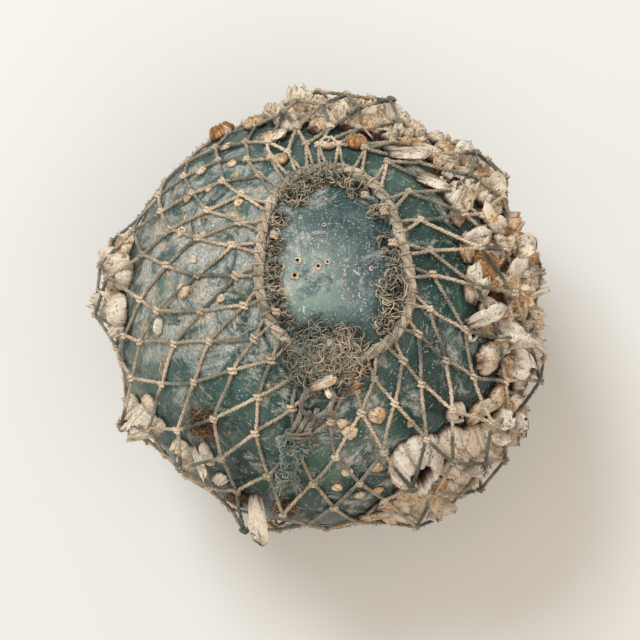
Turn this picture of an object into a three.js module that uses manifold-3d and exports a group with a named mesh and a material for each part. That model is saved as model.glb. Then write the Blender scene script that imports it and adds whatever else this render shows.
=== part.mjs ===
// Glass fishing float in its net, with a rope ring, a lashing and a crust of barnacles.
// Millimetres, +Z up. The origin is the centre of the flat rest spot under the float.
import * as THREE from 'three';
import * as BufferGeometryUtils from 'three/addons/utils/BufferGeometryUtils.js';
import Module from 'manifold-3d';

const wasm = await Module();
wasm.setup();

// The glass ball and what it rests on.
const ballRadius = 150;
const ballHeight = 155;
const ballDetail = 5;
const gap = 0.3;
const mergeTolerance = 0.25;

// Places on the ball are a bearing, counted from +X towards +Y, and a drop, counted from the top.
const ringBearing = 82;
const ringDrop = 14.5;
const ringRopeRadius = 3.8;
const ringMeanAngle = 21.9;
const ringOval = 3.5;
const ringSkew = 0.8;
const ringEgg = 0.9;
const ringSteps = 24;

// The net: columns of knots around the ball, and rows from the ring down to the drawcord.
const netColumns = 26;
const netRows = 15;
const firstRowAngle = 29.5;
const rowStep = 9.9;
const lastRowAngle = 167.5;
const hitchOffset = 2;
const legSpread = 0.22;
const legWidthShare = 0.7;
const netTurn = -121.9;
const netSlip = -8.5;
const pullAcross = 8.4;
const pullAlong = 7.6;
const pullWaist = 8.7;
const slackShare = 1.2;
const slackLean = 2.5;
const slackFade = 1.5;
const netWander = 1.1;
const knotReach = 2.6;
const twineFloor = 1.5;
const twineHeight = 3.8;
const twineClearance = 2.6;
const riseShare = 1.1;
const liftLimit = 13;
const liftRounds = 14;
const liftStep = 0.2;
const leastRise = 0.01;
const axisTurnStart = 30;
const axisTurnEnd = 135;

// The drawcord that closes the net under the ball, coiled flat: this is the rest spot.
const restRadius = 24;
const cordRadius = 27;
const cordBulge = 2.2;
const cordSides = 16;

// Wiry hydroid tufts: how far each one stays clear of the ring's rope.
const tuftClearance = 0.8;
const ringSeat = ringRopeRadius + gap + 0.1;
const ringClearance = 0.35;
const ropeSides = 5;

// The lashing that ties the net off beside the ring.
const lashingRadius = 2.3;
const lashingHeight = 7.6;
const knotBulk = 5.5;

const glassLook = { color: 0x2c5148, roughness: 0.35, metalness: 0 };
const twineLook = { color: 0xa08f76, roughness: 0.95, metalness: 0 };
const ropeLook = { color: 0x8f8b7c, roughness: 0.95, metalness: 0 };
const darkRopeLook = { color: 0x5c625e, roughness: 0.95, metalness: 0 };
const shellLook = { color: 0xd8d0c0, roughness: 0.8, metalness: 0 };
const tuftLook = { color: 0x5d6a55, roughness: 1, metalness: 0 };
const fringeLook = { color: 0x6a4a2c, roughness: 1, metalness: 0 };

const degrees = Math.PI / 180;

const float = new THREE.Group();
float.name = 'glass_float_ball';
const ballGroup = new THREE.Group();
ballGroup.position.set(0, 0, ballHeight);
float.add(ballGroup);

// A repeatable number from 0 to 1 for two counters.
function scatter(a, b) {
  const value = Math.sin(a * 12.9898 + b * 78.233) * 43758.5453;
  return value - Math.floor(value);
}

function smooth(value) {
  const t = THREE.MathUtils.clamp(value, 0, 1);
  return t * t * (3 - 2 * t);
}

// Unit vector at a bearing and a drop.
function outward(bearing, drop) {
  const b = bearing * degrees;
  const d = drop * degrees;
  return new THREE.Vector3(Math.sin(d) * Math.cos(b), Math.sin(d) * Math.sin(b), Math.cos(d));
}

// Two unit vectors along the ball's surface at a place: the first across, the second towards +Y on top.
function tangents(normal) {
  const across = new THREE.Vector3(0, 1, 0).cross(normal);
  if (across.lengthSq() < 1e-6) across.set(1, 0, 0);
  across.normalize();
  const along = new THREE.Vector3().crossVectors(normal, across);
  return [across, along];
}

function addPiece(parent, name, geometry, look) {
  geometry.computeVertexNormals();
  const mesh = new THREE.Mesh(geometry, new THREE.MeshStandardMaterial(look));
  mesh.name = name;
  parent.add(mesh);
  return mesh;
}

function geometryFrom(points, faces) {
  const geometry = new THREE.BufferGeometry();
  const positions = points.flatMap((point) => point.toArray());
  geometry.setAttribute('position', new THREE.Float32BufferAttribute(positions, 3));
  geometry.setIndex(faces.flat());
  return geometry;
}

// A closed three.js geometry as a manifold solid.
function solidOf(geometry) {
  const bare = geometry.clone();
  bare.deleteAttribute('normal');
  bare.deleteAttribute('uv');
  const merged = BufferGeometryUtils.mergeVertices(bare, 1e-4);
  return new wasm.Manifold(new wasm.Mesh({
    numProp: 3,
    vertProperties: new Float32Array(merged.attributes.position.array),
    triVerts: new Uint32Array(merged.index.array),
  }));
}

function geometryOf(solid) {
  const mesh = solid.getMesh();
  const geometry = new THREE.BufferGeometry();
  geometry.setAttribute('position', new THREE.BufferAttribute(mesh.vertProperties, 3));
  geometry.setIndex(new THREE.BufferAttribute(mesh.triVerts, 1));
  return geometry;
}

// The biggest body of a solid that a cut may have left in several.
function largestBody(solid) {
  const bodies = solid.decompose();
  return bodies.reduce((best, body) => (body.volume() > best.volume() ? body : best));
}

// ---- net mapping ----

// The pole that the net is gathered round: the ring's own pole on top, straight down below.
function netPole(angle) {
  const share = smooth((angle - axisTurnStart) / (axisTurnEnd - axisTurnStart));
  return outward(ringBearing, ringDrop * (1 - share));
}

// Unit vector at an angle from the net's pole and a turn around it.
function netDirection(angle, turn) {
  const pole = netPole(angle);
  const [across, along] = tangents(pole);
  const a = angle * degrees;
  const t = turn * degrees;
  return pole.multiplyScalar(Math.cos(a))
    .addScaledVector(across, Math.sin(a) * Math.cos(t))
    .addScaledVector(along, Math.sin(a) * Math.sin(t));
}

// The ring is an oval, longest along Y and a little egg-shaped.
function ringAngle(turn) {
  const t = turn * degrees;
  const oval = ringOval * Math.cos(2 * t) + ringSkew * Math.sin(2 * t);
  return ringMeanAngle - oval - ringEgg * Math.sin(3 * t);
}

// Where column and row meet: the turn leans as it was pulled, most in the first rows.
function knotTurn(column, row) {
  const t = (column * 2 * Math.PI) / netColumns;
  const aside = pullAcross * Math.cos(t) + pullAlong * Math.sin(t);
  const pull = pullWaist * Math.cos(2 * t) - aside - netSlip;
  return netTurn + netSlip - (column * 360) / netColumns + pull * Math.exp(1 - row);
}

function knotAngle(turn, row) {
  const lean = slackLean * Math.sin(turn * degrees);
  const slack = slackShare * (ringAngle(turn) - ringMeanAngle) + lean;
  const plain = Math.min(firstRowAngle + (row - 1) * rowStep, lastRowAngle);
  return plain + slack * Math.exp((1 - row) / slackFade);
}

// ---- growth: barnacles, shell plates and the crust that cements them ----

// Every growth is a bearing and a drop in degrees, then a radius and a height in millimetres.
function barnacle(bearing, drop, radius, height, mouth = 0.5) {
  return { bearing, drop, radius, height, mouth, pit: 0.45, sides: 6, flute: 0.1 };
}

function dome(bearing, drop, radius, height) {
  return { bearing, drop, radius, height, mouth: 0.6, pit: 1.15, sides: 5, flute: 0 };
}

function crust(bearing, drop, radius) {
  return { bearing, drop, radius, height: 2, mouth: 0.84, pit: 1, sides: 7, flute: 0 };
}

// A shell plate: a low dome stretched along a line turned from the across direction.
function plate(bearing, drop, radius, stretch, turn, height = 3.4) {
  return { ...dome(bearing, drop, radius, height), stretch, turn, sides: 6 };
}

// A tall sharp shell, leaning outwards and down.
function spike(bearing, drop, radius, height) {
  return { ...barnacle(bearing, drop, radius, height, 0.3), pit: 1.1 };
}

const colonies = {
  barnacles_top: [
    crust(97, 70, 20), crust(84, 67, 20), crust(70, 64, 20),
    barnacle(97, 77, 11, 19), dome(100, 62, 8, 7), barnacle(90, 71, 11, 13, 0.6),
    barnacle(76, 73, 11, 13), dome(83, 64, 7, 8), dome(71, 62, 9, 6), plate(65, 57, 8, 1.8, -15),
  ],
  barnacles_upper_right: [
    crust(46, 57, 18), crust(43, 70, 20),
    plate(51, 51, 8, 1.6, -25), barnacle(49, 71, 10, 11), barnacle(42, 79, 10, 12),
    dome(42, 58, 9, 7), dome(35, 73, 8, 9),
  ],
  barnacles_right: [
    crust(22, 58, 20), crust(8, 56, 20), crust(-6, 58, 20), crust(14, 68, 16),
    dome(26, 65, 8, 6), plate(28, 51, 7, 1.3, 40, 6), dome(18, 48, 12, 10), dome(16, 74, 8, 12),
    plate(13, 42, 9, 1.4, 70, 5), barnacle(3, 46, 9, 7, 0.6), plate(-3, 46, 9, 1.4, 0, 4),
    plate(-9, 52, 9, 1.3, 60, 5), dome(-4, 63, 9, 6), barnacle(-11, 68, 12, 15, 0.7),
    barnacle(-14, 48, 11, 7),
  ],
  barnacles_lower_right: [
    crust(-38, 67, 21), crust(-46, 75, 15),
    barnacle(-57, 47, 19, 19), barnacle(-45, 50, 12, 12), barnacle(-41, 57, 14, 12),
    plate(-46, 69, 10, 1.3, 30, 7), barnacle(-39, 76, 10, 11), dome(-28, 68, 9, 7),
    barnacle(-32, 74, 9, 11), barnacle(-50, 81, 10, 14),
  ],
  barnacles_lower: [
    crust(-63, 68, 18), dome(-65, 60, 9, 8), barnacle(-61, 71, 12, 14, 0.6),
    barnacle(-64, 78, 10, 12),
  ],
  barnacle_pair_upper_left: [crust(164, 78, 14), barnacle(166, 74, 10, 14), dome(164, 84, 8, 19)],
  barnacle_pair_lower_left: [crust(176, 77, 14), barnacle(176, 84, 8, 20), barnacle(177, 70, 9, 12)],
  barnacle_lower_left: [barnacle(-151, 74, 13, 18, 0.6)],
  barnacle_cap_lower_left: [dome(-154, 63, 7, 6)],
  barnacle_broken: [barnacle(-137, 61, 8, 9, 0.75)],
  shell_oval: [plate(-123, 61, 5, 1.6, 20, 5)],
  shell_spike_small: [plate(-131, 54, 4, 2.6, 80, 6)],
  shell_spike_large: [spike(-109, 72, 9, 27)],
  shell_tooth: [plate(-177, 48, 3.5, 1.7, 70, 5)],
  barnacles_back_right: [barnacle(30, 110, 11, 12), barnacle(25, 114, 9, 8)],
  barnacles_back_left: [barnacle(134, 105, 9, 10), dome(139, 109, 8, 6)],
  barnacles_under_front: [barnacle(-98, 108, 10, 12), dome(-101, 112, 8, 6)],
  barnacle_under_right: [barnacle(-20, 127, 9, 8)],
  barnacle_under_back: [barnacle(82, 126, 10, 8)],
  barnacle_under_left: [barnacle(-162, 122, 9, 7)],
};

// Brown weedy tufts that sit on the glass between the shells.
const weedTufts = {
  weed_tuft_left: dome(-139, 45, 11, 8),
  weed_tuft_lower: dome(-116, 66, 7, 7),
  weed_tuft_bottom: dome(-102, 61, 8, 7),
};

// Wiry hydroid tufts along the inside of the ring: the turn around the ring's pole, then the radius.
const ringTufts = [
  [119, 7], [106, 5.4], [95, 5], [73, 6.4], [49, 5.6], [21, 5.6], [5, 5], [-25, 9],
  [-51, 6], [139, 5.4], [160, 5.4], [-176, 5], [-161, 5], [-145, 5.6], [-130, 4.6],
];

function growthPoint(centre, spec, reach, height, angle) {
  const [across, along] = tangents(centre);
  const turn = (spec.turn ?? 0) * degrees;
  const x = reach * Math.cos(angle) * (spec.stretch ?? 1);
  const y = reach * Math.sin(angle);
  const side = across.multiplyScalar(x * Math.cos(turn) - y * Math.sin(turn))
    .addScaledVector(along, x * Math.sin(turn) + y * Math.cos(turn));
  const direction = centre.clone().multiplyScalar(ballRadius).add(side).normalize();
  const flat = (spec.radius * (spec.stretch ?? 1)) ** 2 / (8 * ballRadius);
  return direction.multiplyScalar(ballRadius + gap + flat + (spec.base ?? 0) + height);
}

// A fluted cone cut off at its mouth, with a pit or a cap inside the mouth.
function growthGeometry(spec) {
  const centre = outward(spec.bearing, spec.drop);
  const { radius, height, mouth, sides } = spec;
  const points = [];
  for (let i = 0; i < sides; i += 1) {
    const angle = ((i + scatter(spec.bearing, spec.drop)) * 2 * Math.PI) / sides;
    const flute = 1 + spec.flute * (i % 2 ? -1 : 1);
    const rise = height * (0.9 + 0.2 * scatter(i, spec.bearing));
    points.push(growthPoint(centre, spec, radius * flute, 0, angle));
    points.push(growthPoint(centre, spec, radius * mouth * (2 - flute), rise, angle));
  }
  const foot = points.push(growthPoint(centre, spec, 0, 0, 0)) - 1;
  const pit = points.push(growthPoint(centre, spec, 0, height * spec.pit, 0)) - 1;
  const faces = [];
  for (let i = 0; i < sides; i += 1) {
    const low = 2 * i;
    const nextLow = (low + 2) % (2 * sides);
    faces.push([foot, nextLow, low], [low, nextLow, nextLow + 1]);
    faces.push([low, nextLow + 1, low + 1], [low + 1, nextLow + 1, pit]);
  }
  return geometryFrom(points, faces);
}

// ---- net ----

const growths = [...Object.values(colonies).flat(), ...Object.values(weedTufts)].map((spec) => ({
  ...spec,
  centre: outward(spec.bearing, spec.drop),
  footing: spec.radius * (1 + spec.flute) * (spec.stretch ?? 1) + twineClearance,
}));

// How high the growth stands on the glass at a place, counting each one as a cut-off cone.
function growthHeight(direction) {
  let top = 0;
  for (const growth of growths) {
    const away = direction.angleTo(growth.centre) * ballRadius;
    if (away > growth.footing) continue;
    const slope = (growth.footing - away) / (growth.footing * (1 - growth.mouth));
    const rise = Math.min(growth.height * riseShare, liftLimit);
    top = Math.max(top, rise * Math.min(slope, 1));
  }
  return top;
}

// Each knot's row and column, its place on the glass, and how far it stands off.
function netKnots() {
  const rows = [];
  for (let row = 1; row <= netRows; row += 1) {
    const sway = row < netRows ? netWander : 0;
    rows[row] = Array.from({ length: netColumns }, (_, k) => {
      const column = k + (row % 2 ? 0 : 0.5);
      const baseTurn = knotTurn(column, row);
      const angle = knotAngle(baseTurn, row) + sway * (2 * scatter(row, column) - 1);
      const aside = (sway * (2 * scatter(column, row) - 1)) / Math.sin(angle * degrees);
      return { column, angle, turn: baseTurn + aside, lift: 0 };
    });
  }
  return rows;
}

// The knot below and to the right, and the one below and to the left.
function knotsBelow(rows, row, k) {
  const odd = row % 2;
  const right = rows[row + 1][(k + (odd ? netColumns - 1 : 0)) % netColumns];
  const left = rows[row + 1][(k + (odd ? 0 : 1)) % netColumns];
  return [right, left];
}

// Raises the knots until every twine lies on top of the growth that it crosses.
function liftOverGrowth(rows) {
  const bars = [];
  for (let row = 1; row < netRows; row += 1) {
    rows[row].forEach((knot, k) => {
      for (const below of knotsBelow(rows, row, k)) bars.push([knot, below]);
    });
  }
  const knots = rows.flat();
  knots.forEach((knot) => { knot.direction = netDirection(knot.angle, knot.turn); });
  for (let round = 0; round < liftRounds; round += 1) {
    knots.forEach((knot) => { knot.raise = 0; });
    for (const [from, to] of bars) {
      const start = from.direction.clone().multiplyScalar(ballRadius + from.lift);
      const end = to.direction.clone().multiplyScalar(ballRadius + to.lift);
      for (let share = 0; share <= 1; share += liftStep) {
        const point = start.clone().lerp(end, share);
        const radius = point.length();
        const short = growthHeight(point.normalize()) + ballRadius - radius - twineFloor;
        if (short < leastRise) continue;
        const scale = short / ((1 - share) ** 2 + share ** 2);
        from.raise = Math.max(from.raise, scale * (1 - share));
        to.raise = Math.max(to.raise, scale * share);
      }
    }
    knots.forEach((knot) => { knot.lift += knot.raise; });
  }
  return rows;
}

const knotRows = liftOverGrowth(netKnots());

// A knot is a low pyramid: its apex on top, four corners below, named as seen with the ring up.
function knotCorners({ angle, turn, lift }, spare, points) {
  const floor = ballRadius + twineFloor + lift - spare;
  const reach = (knotReach + spare) / (ballRadius * degrees);
  const place = (up, left, radius) => {
    const aside = (left * reach) / Math.sin(angle * degrees);
    const point = netDirection(angle - up * reach, turn - aside).multiplyScalar(radius);
    return points.push(point) - 1;
  };
  return {
    apex: place(0, 0, floor + twineHeight + 2 * spare),
    up: place(1, 0, floor),
    left: place(0, 1, floor),
    down: place(-1, 0, floor),
    right: place(0, -1, floor),
  };
}

// Where a leg of a first-row knot ends beside the ring: a twine's section, not a whole knot.
function netLegEnd(column, spare, points) {
  const turn = knotTurn(column, 1);
  const angle = ringAngle(turn) + hitchOffset - spare / (ballRadius * degrees);
  const reach = (legWidthShare * knotReach + spare) / (ballRadius * degrees);
  const aside = reach / Math.sin(angle * degrees);
  const floor = ballRadius + twineFloor - spare;
  const place = (side, radius) => {
    const point = netDirection(angle, turn + side * aside).multiplyScalar(radius);
    return points.push(point) - 1;
  };
  return {
    apex: place(0, floor + twineHeight + 2 * spare),
    right: place(1, floor),
    left: place(-1, floor),
  };
}

// One twine: a ridge between two knots, from its left-hand edge a to its right-hand edge b.
function netBar(from, to, a1, a2, b1, b2) {
  return [
    [from.apex, to.apex, a2], [from.apex, a2, a1],
    [from.apex, b1, b2], [from.apex, b2, to.apex],
    [a1, a2, b2], [a1, b2, b1],
  ];
}

// The whole net as one closed body; spare makes it that much bigger all round, as a cutter.
function netGeometry(spare = 0) {
  const points = [];
  const faces = [];
  const rows = knotRows.map((row) => row.map((knot) => knotCorners(knot, spare, points)));
  for (const { up, right, down, left } of rows.flat()) {
    faces.push([up, right, down], [up, down, left]);
  }
  for (const { apex, left, down, right } of rows[netRows]) {
    faces.push([apex, left, down], [apex, down, right]);
  }
  rows[1].forEach((knot, k) => {
    const left = netLegEnd(k + legSpread, spare, points);
    const right = netLegEnd(k - legSpread, spare, points);
    faces.push(...netBar(left, knot, left.right, knot.up, left.left, knot.left));
    faces.push(...netBar(right, knot, right.right, knot.right, right.left, knot.up));
    faces.push([left.apex, left.right, left.left], [right.apex, right.right, right.left]);
  });
  for (let row = 1; row < netRows; row += 1) {
    rows[row].forEach((knot, k) => {
      const [right, left] = knotsBelow(rows, row, k);
      faces.push(...netBar(knot, right, knot.right, right.up, knot.down, right.left));
      faces.push(...netBar(knot, left, knot.down, left.right, knot.left, left.up));
    });
  }
  return geometryFrom(points, faces);
}

// The room that a piece under the net leaves for it: the net itself and two slightly bigger ones.
const netSpares = [0, 0.2, 0.45];
const netCutter = wasm.Manifold.union(netSpares.map((spare) => solidOf(netGeometry(spare))));

// ---- pieces ----

function addGlassBall() {
  const geometry = new THREE.IcosahedronGeometry(ballRadius, ballDetail);
  addPiece(ballGroup, 'glass_ball', geometry, glassLook);
}

function addNet() {
  addPiece(ballGroup, 'net', netGeometry(), twineLook);
}

// A closed round tube through points on the ball, with flat-sided sections.
function ropeGeometry(points, radius, sides = ropeSides) {
  const path = new THREE.CatmullRomCurve3(points);
  const section = new THREE.Shape();
  for (let i = 0; i < sides; i += 1) {
    const angle = (i * 2 * Math.PI) / sides;
    const corner = [radius * Math.cos(angle), radius * Math.sin(angle)];
    if (i === 0) section.moveTo(...corner);
    else section.lineTo(...corner);
  }
  const steps = points.length + 2;
  return new THREE.ExtrudeGeometry(section, { steps, extrudePath: path, curveSegments: 1 });
}

function ringPoints(height) {
  return Array.from({ length: ringSteps }, (_, i) => {
    const turn = (i * 360) / ringSteps;
    return netDirection(ringAngle(turn), turn).multiplyScalar(ballRadius + height);
  });
}

// The rope ring's tube as rings of corners around the oval, joined end to end.
function ringGeometry(radius, height) {
  const sides = ropeSides;
  const points = [];
  const faces = [];
  const centres = ringPoints(height);
  centres.forEach((centre, i) => {
    const out = centre.clone().normalize();
    const next = centres[(i + 1) % ringSteps];
    const forward = next.clone().sub(centres[(i + ringSteps - 1) % ringSteps]).normalize();
    const side = new THREE.Vector3().crossVectors(forward, out).normalize();
    for (let j = 0; j < sides; j += 1) {
      const angle = ((j + 0.5) * 2 * Math.PI) / sides;
      const point = centre.clone().addScaledVector(out, radius * Math.sin(angle));
      points.push(point.addScaledVector(side, radius * Math.cos(angle)));
      const a = i * sides + j;
      const b = i * sides + ((j + 1) % sides);
      const c = (((i + 1) % ringSteps) * sides) + j;
      const d = (((i + 1) % ringSteps) * sides) + ((j + 1) % sides);
      faces.push([a, d, b], [a, c, d]);
    }
  });
  return geometryFrom(points, faces);
}

function addRing() {
  const geometry = ringGeometry(ringRopeRadius, ringSeat);
  addPiece(ballGroup, 'rope_ring', geometry, ropeLook);
}

// The drawcord: a flat coil, dished on top to take the ball and flat below where it rests.
function addDrawcord() {
  const seat = (x) => ballHeight - Math.sqrt((ballRadius + 2 * gap) ** 2 - x * x);
  const profile = [
    [0, 0], [restRadius, 0], [cordRadius, cordBulge], [cordRadius, seat(cordRadius)],
    [restRadius / 2, seat(restRadius / 2)], [0, seat(0)],
  ];
  const outline = profile.map(([x, z]) => new THREE.Vector2(x, z));
  const geometry = new THREE.LatheGeometry(outline, cordSides);
  geometry.rotateX(Math.PI / 2);
  addPiece(float, 'drawcord', geometry, ropeLook);
}

function addLashing() {
  const strands = [
    [[-104, 30], [-96, 24], [-86, 22], [-88, 19], [-98, 18.5], [-107, 20.5], [-104, 30]],
    [[-104, 30], [-102, 40], [-102, 49]],
  ];
  const tubes = strands.map((strand) => {
    const points = strand.map(([bearing, drop]) => (
      outward(bearing, drop).multiplyScalar(ballRadius + lashingHeight)));
    return solidOf(ropeGeometry(points, lashingRadius));
  });
  const knot = new THREE.IcosahedronGeometry(knotBulk);
  const place = outward(-104, 30).multiplyScalar(ballRadius + lashingHeight);
  knot.translate(place.x, place.y, place.z);
  const solid = wasm.Manifold.union([...tubes, solidOf(knot)]).subtract(netCutter);
  addPiece(ballGroup, 'lashing', geometryOf(largestBody(solid.simplify(mergeTolerance))), darkRopeLook);
}

function addRingTufts(ringCutter) {
  ringTufts.forEach(([turn, radius], i) => {
    const inset = (ringRopeRadius + radius + tuftClearance) / (ballRadius * degrees);
    const place = netDirection(ringAngle(turn) - inset, turn);
    const bearing = Math.atan2(place.y, place.x) / degrees;
    const drop = Math.acos(place.z) / degrees;
    const tuft = solidOf(growthGeometry(dome(bearing, drop, radius, radius + 1)));
    const cut = largestBody(tuft.subtract(ringCutter));
    addPiece(ballGroup, `hydroid_tuft_${i + 1}`, geometryOf(cut), tuftLook);
  });
}

// The matted patch of hydroids that lies over the near side of the ring and the net's first rows.
function addMat(ringCutter) {
  const base = twineFloor + twineHeight;
  const spec = { ...dome(-91, 9.5, 24, 7), base, stretch: 1.22, sides: 8, mouth: 0.7 };
  const mat = solidOf(growthGeometry(spec)).subtract(ringCutter).subtract(netCutter);
  addPiece(ballGroup, 'hydroid_mat', geometryOf(largestBody(mat)), tuftLook);
}

function addColonies() {
  for (const [name, specs] of Object.entries(colonies)) {
    const joined = wasm.Manifold.union(specs.map((spec) => solidOf(growthGeometry(spec))));
    const solid = largestBody(joined.subtract(netCutter).simplify(mergeTolerance));
    addPiece(ballGroup, name, geometryOf(solid), shellLook);
  }
}

function addWeedTufts() {
  for (const [name, spec] of Object.entries(weedTufts)) {
    const solid = solidOf(growthGeometry(spec)).subtract(netCutter);
    addPiece(ballGroup, name, geometryOf(largestBody(solid.simplify(mergeTolerance))), fringeLook);
  }
}

const ringCutter = solidOf(ringGeometry(ringRopeRadius + ringClearance, ringSeat));
addGlassBall();
addNet();
addRing();
addDrawcord();
addLashing();
addRingTufts(ringCutter);
addMat(ringCutter);
addColonies();
addWeedTufts();

export default float;
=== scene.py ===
# Glass fishing float in its net, with a rope ring, a lashing and a crust of barnacles.
# Blender works in metres; the shapes here are worked out in millimetres from the ball's centre.
import bpy
import numpy as np
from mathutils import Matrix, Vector


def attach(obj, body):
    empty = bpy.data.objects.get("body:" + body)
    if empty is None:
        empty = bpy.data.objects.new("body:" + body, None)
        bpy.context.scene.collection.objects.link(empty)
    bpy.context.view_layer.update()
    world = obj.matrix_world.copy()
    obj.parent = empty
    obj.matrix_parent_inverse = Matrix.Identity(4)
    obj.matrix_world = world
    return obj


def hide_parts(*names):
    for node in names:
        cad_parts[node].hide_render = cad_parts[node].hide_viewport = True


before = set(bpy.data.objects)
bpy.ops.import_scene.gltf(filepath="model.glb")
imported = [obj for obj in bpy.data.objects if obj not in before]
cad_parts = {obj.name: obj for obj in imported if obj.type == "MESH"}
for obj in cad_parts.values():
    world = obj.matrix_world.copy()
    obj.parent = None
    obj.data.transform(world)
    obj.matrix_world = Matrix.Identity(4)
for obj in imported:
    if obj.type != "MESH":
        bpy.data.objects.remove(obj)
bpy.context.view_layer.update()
print("frame loaded:", len(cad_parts), "nodes")

ball = {"radius": 150.0, "height": 155.0, "gap": 0.3}
dice = np.random.default_rng(11)


# Vectors, noise and places on the ball.

def unit(v):
    # Each vector over its own length.
    return v / np.maximum(np.linalg.norm(v, axis=-1, keepdims=True), 1e-9)


def smooth(x):
    # 3t^2 - 2t^3, with t held from 0 to 1.
    t = np.clip(x, 0, 1)
    return t * t * (3 - 2 * t)


def scatter(a, b):
    # What is left after the point of a large sine of two counters, from 0 to 1.
    value = np.sin(np.asarray(a) * 12.9898 + np.asarray(b) * 78.233) * 43758.5453
    return value - np.floor(value)


def outward(bearing, drop):
    # Unit vector: bearing counted from +X towards +Y, drop counted from the top.
    b, d = np.radians(bearing) + 0 * np.asarray(drop), np.radians(drop)
    return np.stack([np.sin(d) * np.cos(b), np.sin(d) * np.sin(b), np.cos(d) + 0 * b], -1)


def circle(sides):
    # Even angles once round.
    return np.arange(sides) * 2 * np.pi / sides


def aroundAxis(reach, angle, level):
    # Points at a distance and an angle round z: reach*cos, reach*sin, level.
    return np.stack([reach * np.cos(angle), reach * np.sin(angle), level], -1)


def keepOff(points, clearance):
    # Points lower than the clearance above the glass move straight out to it.
    length = np.linalg.norm(points, axis=-1, keepdims=True)
    return points * np.maximum(1, (ball["radius"] + clearance) / length)


def tangents(normal):
    # Two unit vectors along the surface: Y x normal, then normal x that.
    across = np.cross(np.broadcast_to([0.0, 1.0, 0.0], normal.shape), normal)
    lost = np.linalg.norm(across, axis=-1, keepdims=True) < 1e-3
    across = unit(np.where(lost, [1.0, 0.0, 0.0], across))
    return across, np.cross(normal, across)


def aroundPlace(centre, reach, angle, level):
    # Places at a distance and an angle from a place on the ball, level millimetres off the glass.
    across, along = tangents(centre)
    flat = across * (reach * np.cos(angle))[:, None] + along * (reach * np.sin(angle))[:, None]
    return unit(centre * ball["radius"] + flat) * (ball["radius"] + level)


def lumps(points, size, seed=0):
    # Smooth noise from -1 to 1: random numbers on a lattice, blended between its corners.
    p = points / size + seed * 7.31
    cell = np.floor(p)
    f = smooth(p - cell)
    total = 0
    for corner in np.ndindex(2, 2, 2):
        c = cell + corner
        n = np.sin(c @ np.array([127.1, 311.7, 74.7]) + seed * 13.7) * 43758.5453
        total = total + (n - np.floor(n)) * np.prod(np.where(corner, f, 1 - f), axis=-1)
    return 2 * total - 1


# Meshes.

def part(points, faces, strands=None, shade=0.0, tint=0.0):
    # One body: its points, its face groups, and per point a shade and a tint from 0 to 1.
    points = np.asarray(points, float)
    count = points.size // 3
    fill = lambda v: np.broadcast_to(v, points.shape[:-1]).reshape(count).astype(float)
    return {"points": points.reshape(count, 3), "faces": faces, "strands": strands,
            "shade": fill(shade), "tint": fill(tint)}


def makePiece(name, parts, material, nodes=()):
    # All the parts in one mesh, put into place by adding the ball's height, in metres.
    starts = np.cumsum([0] + [len(p["points"]) for p in parts])
    points = np.concatenate([p["points"] for p in parts])
    points = (points + [0, 0, ball["height"]]) / 1000
    groups = [g + s for p, s in zip(parts, starts) for g in p["faces"]]
    loops = np.concatenate([g.ravel() for g in groups]).astype(np.int32)
    totals = np.concatenate([np.full(len(g), g.shape[1]) for g in groups])
    mesh = bpy.data.meshes.new(name)
    mesh.vertices.add(len(points))
    mesh.vertices.foreach_set("co", points.ravel())
    mesh.loops.add(len(loops))
    mesh.loops.foreach_set("vertex_index", loops)
    mesh.polygons.add(len(totals))
    mesh.polygons.foreach_set("loop_start", (np.cumsum(totals) - totals).astype(np.int32))
    mesh.polygons.foreach_set("use_smooth", np.ones(len(totals), bool))
    for key in ("shade", "tint"):
        values = np.concatenate([p[key] for p in parts])
        mesh.attributes.new(key, "FLOAT", "POINT").data.foreach_set("value", values)
    if parts[0]["strands"] is not None:
        corners = np.concatenate([s.reshape(-1, 2) for p in parts for s in p["strands"]])
        mesh.uv_layers.new(name="strand").data.foreach_set("uv", corners.ravel())
    mesh.update(calc_edges=True)
    mesh.validate()
    mesh.materials.append(material)
    piece = bpy.data.objects.new(name, mesh)
    bpy.context.scene.collection.objects.link(piece)
    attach(piece, "root")
    if nodes:
        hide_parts(*nodes)
    print(name, len(totals), "faces")


def camelCase(name):
    # net_twine becomes netTwine.
    words = name.split("_")
    return words[0] + "".join(w.capitalize() for w in words[1:])


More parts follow.
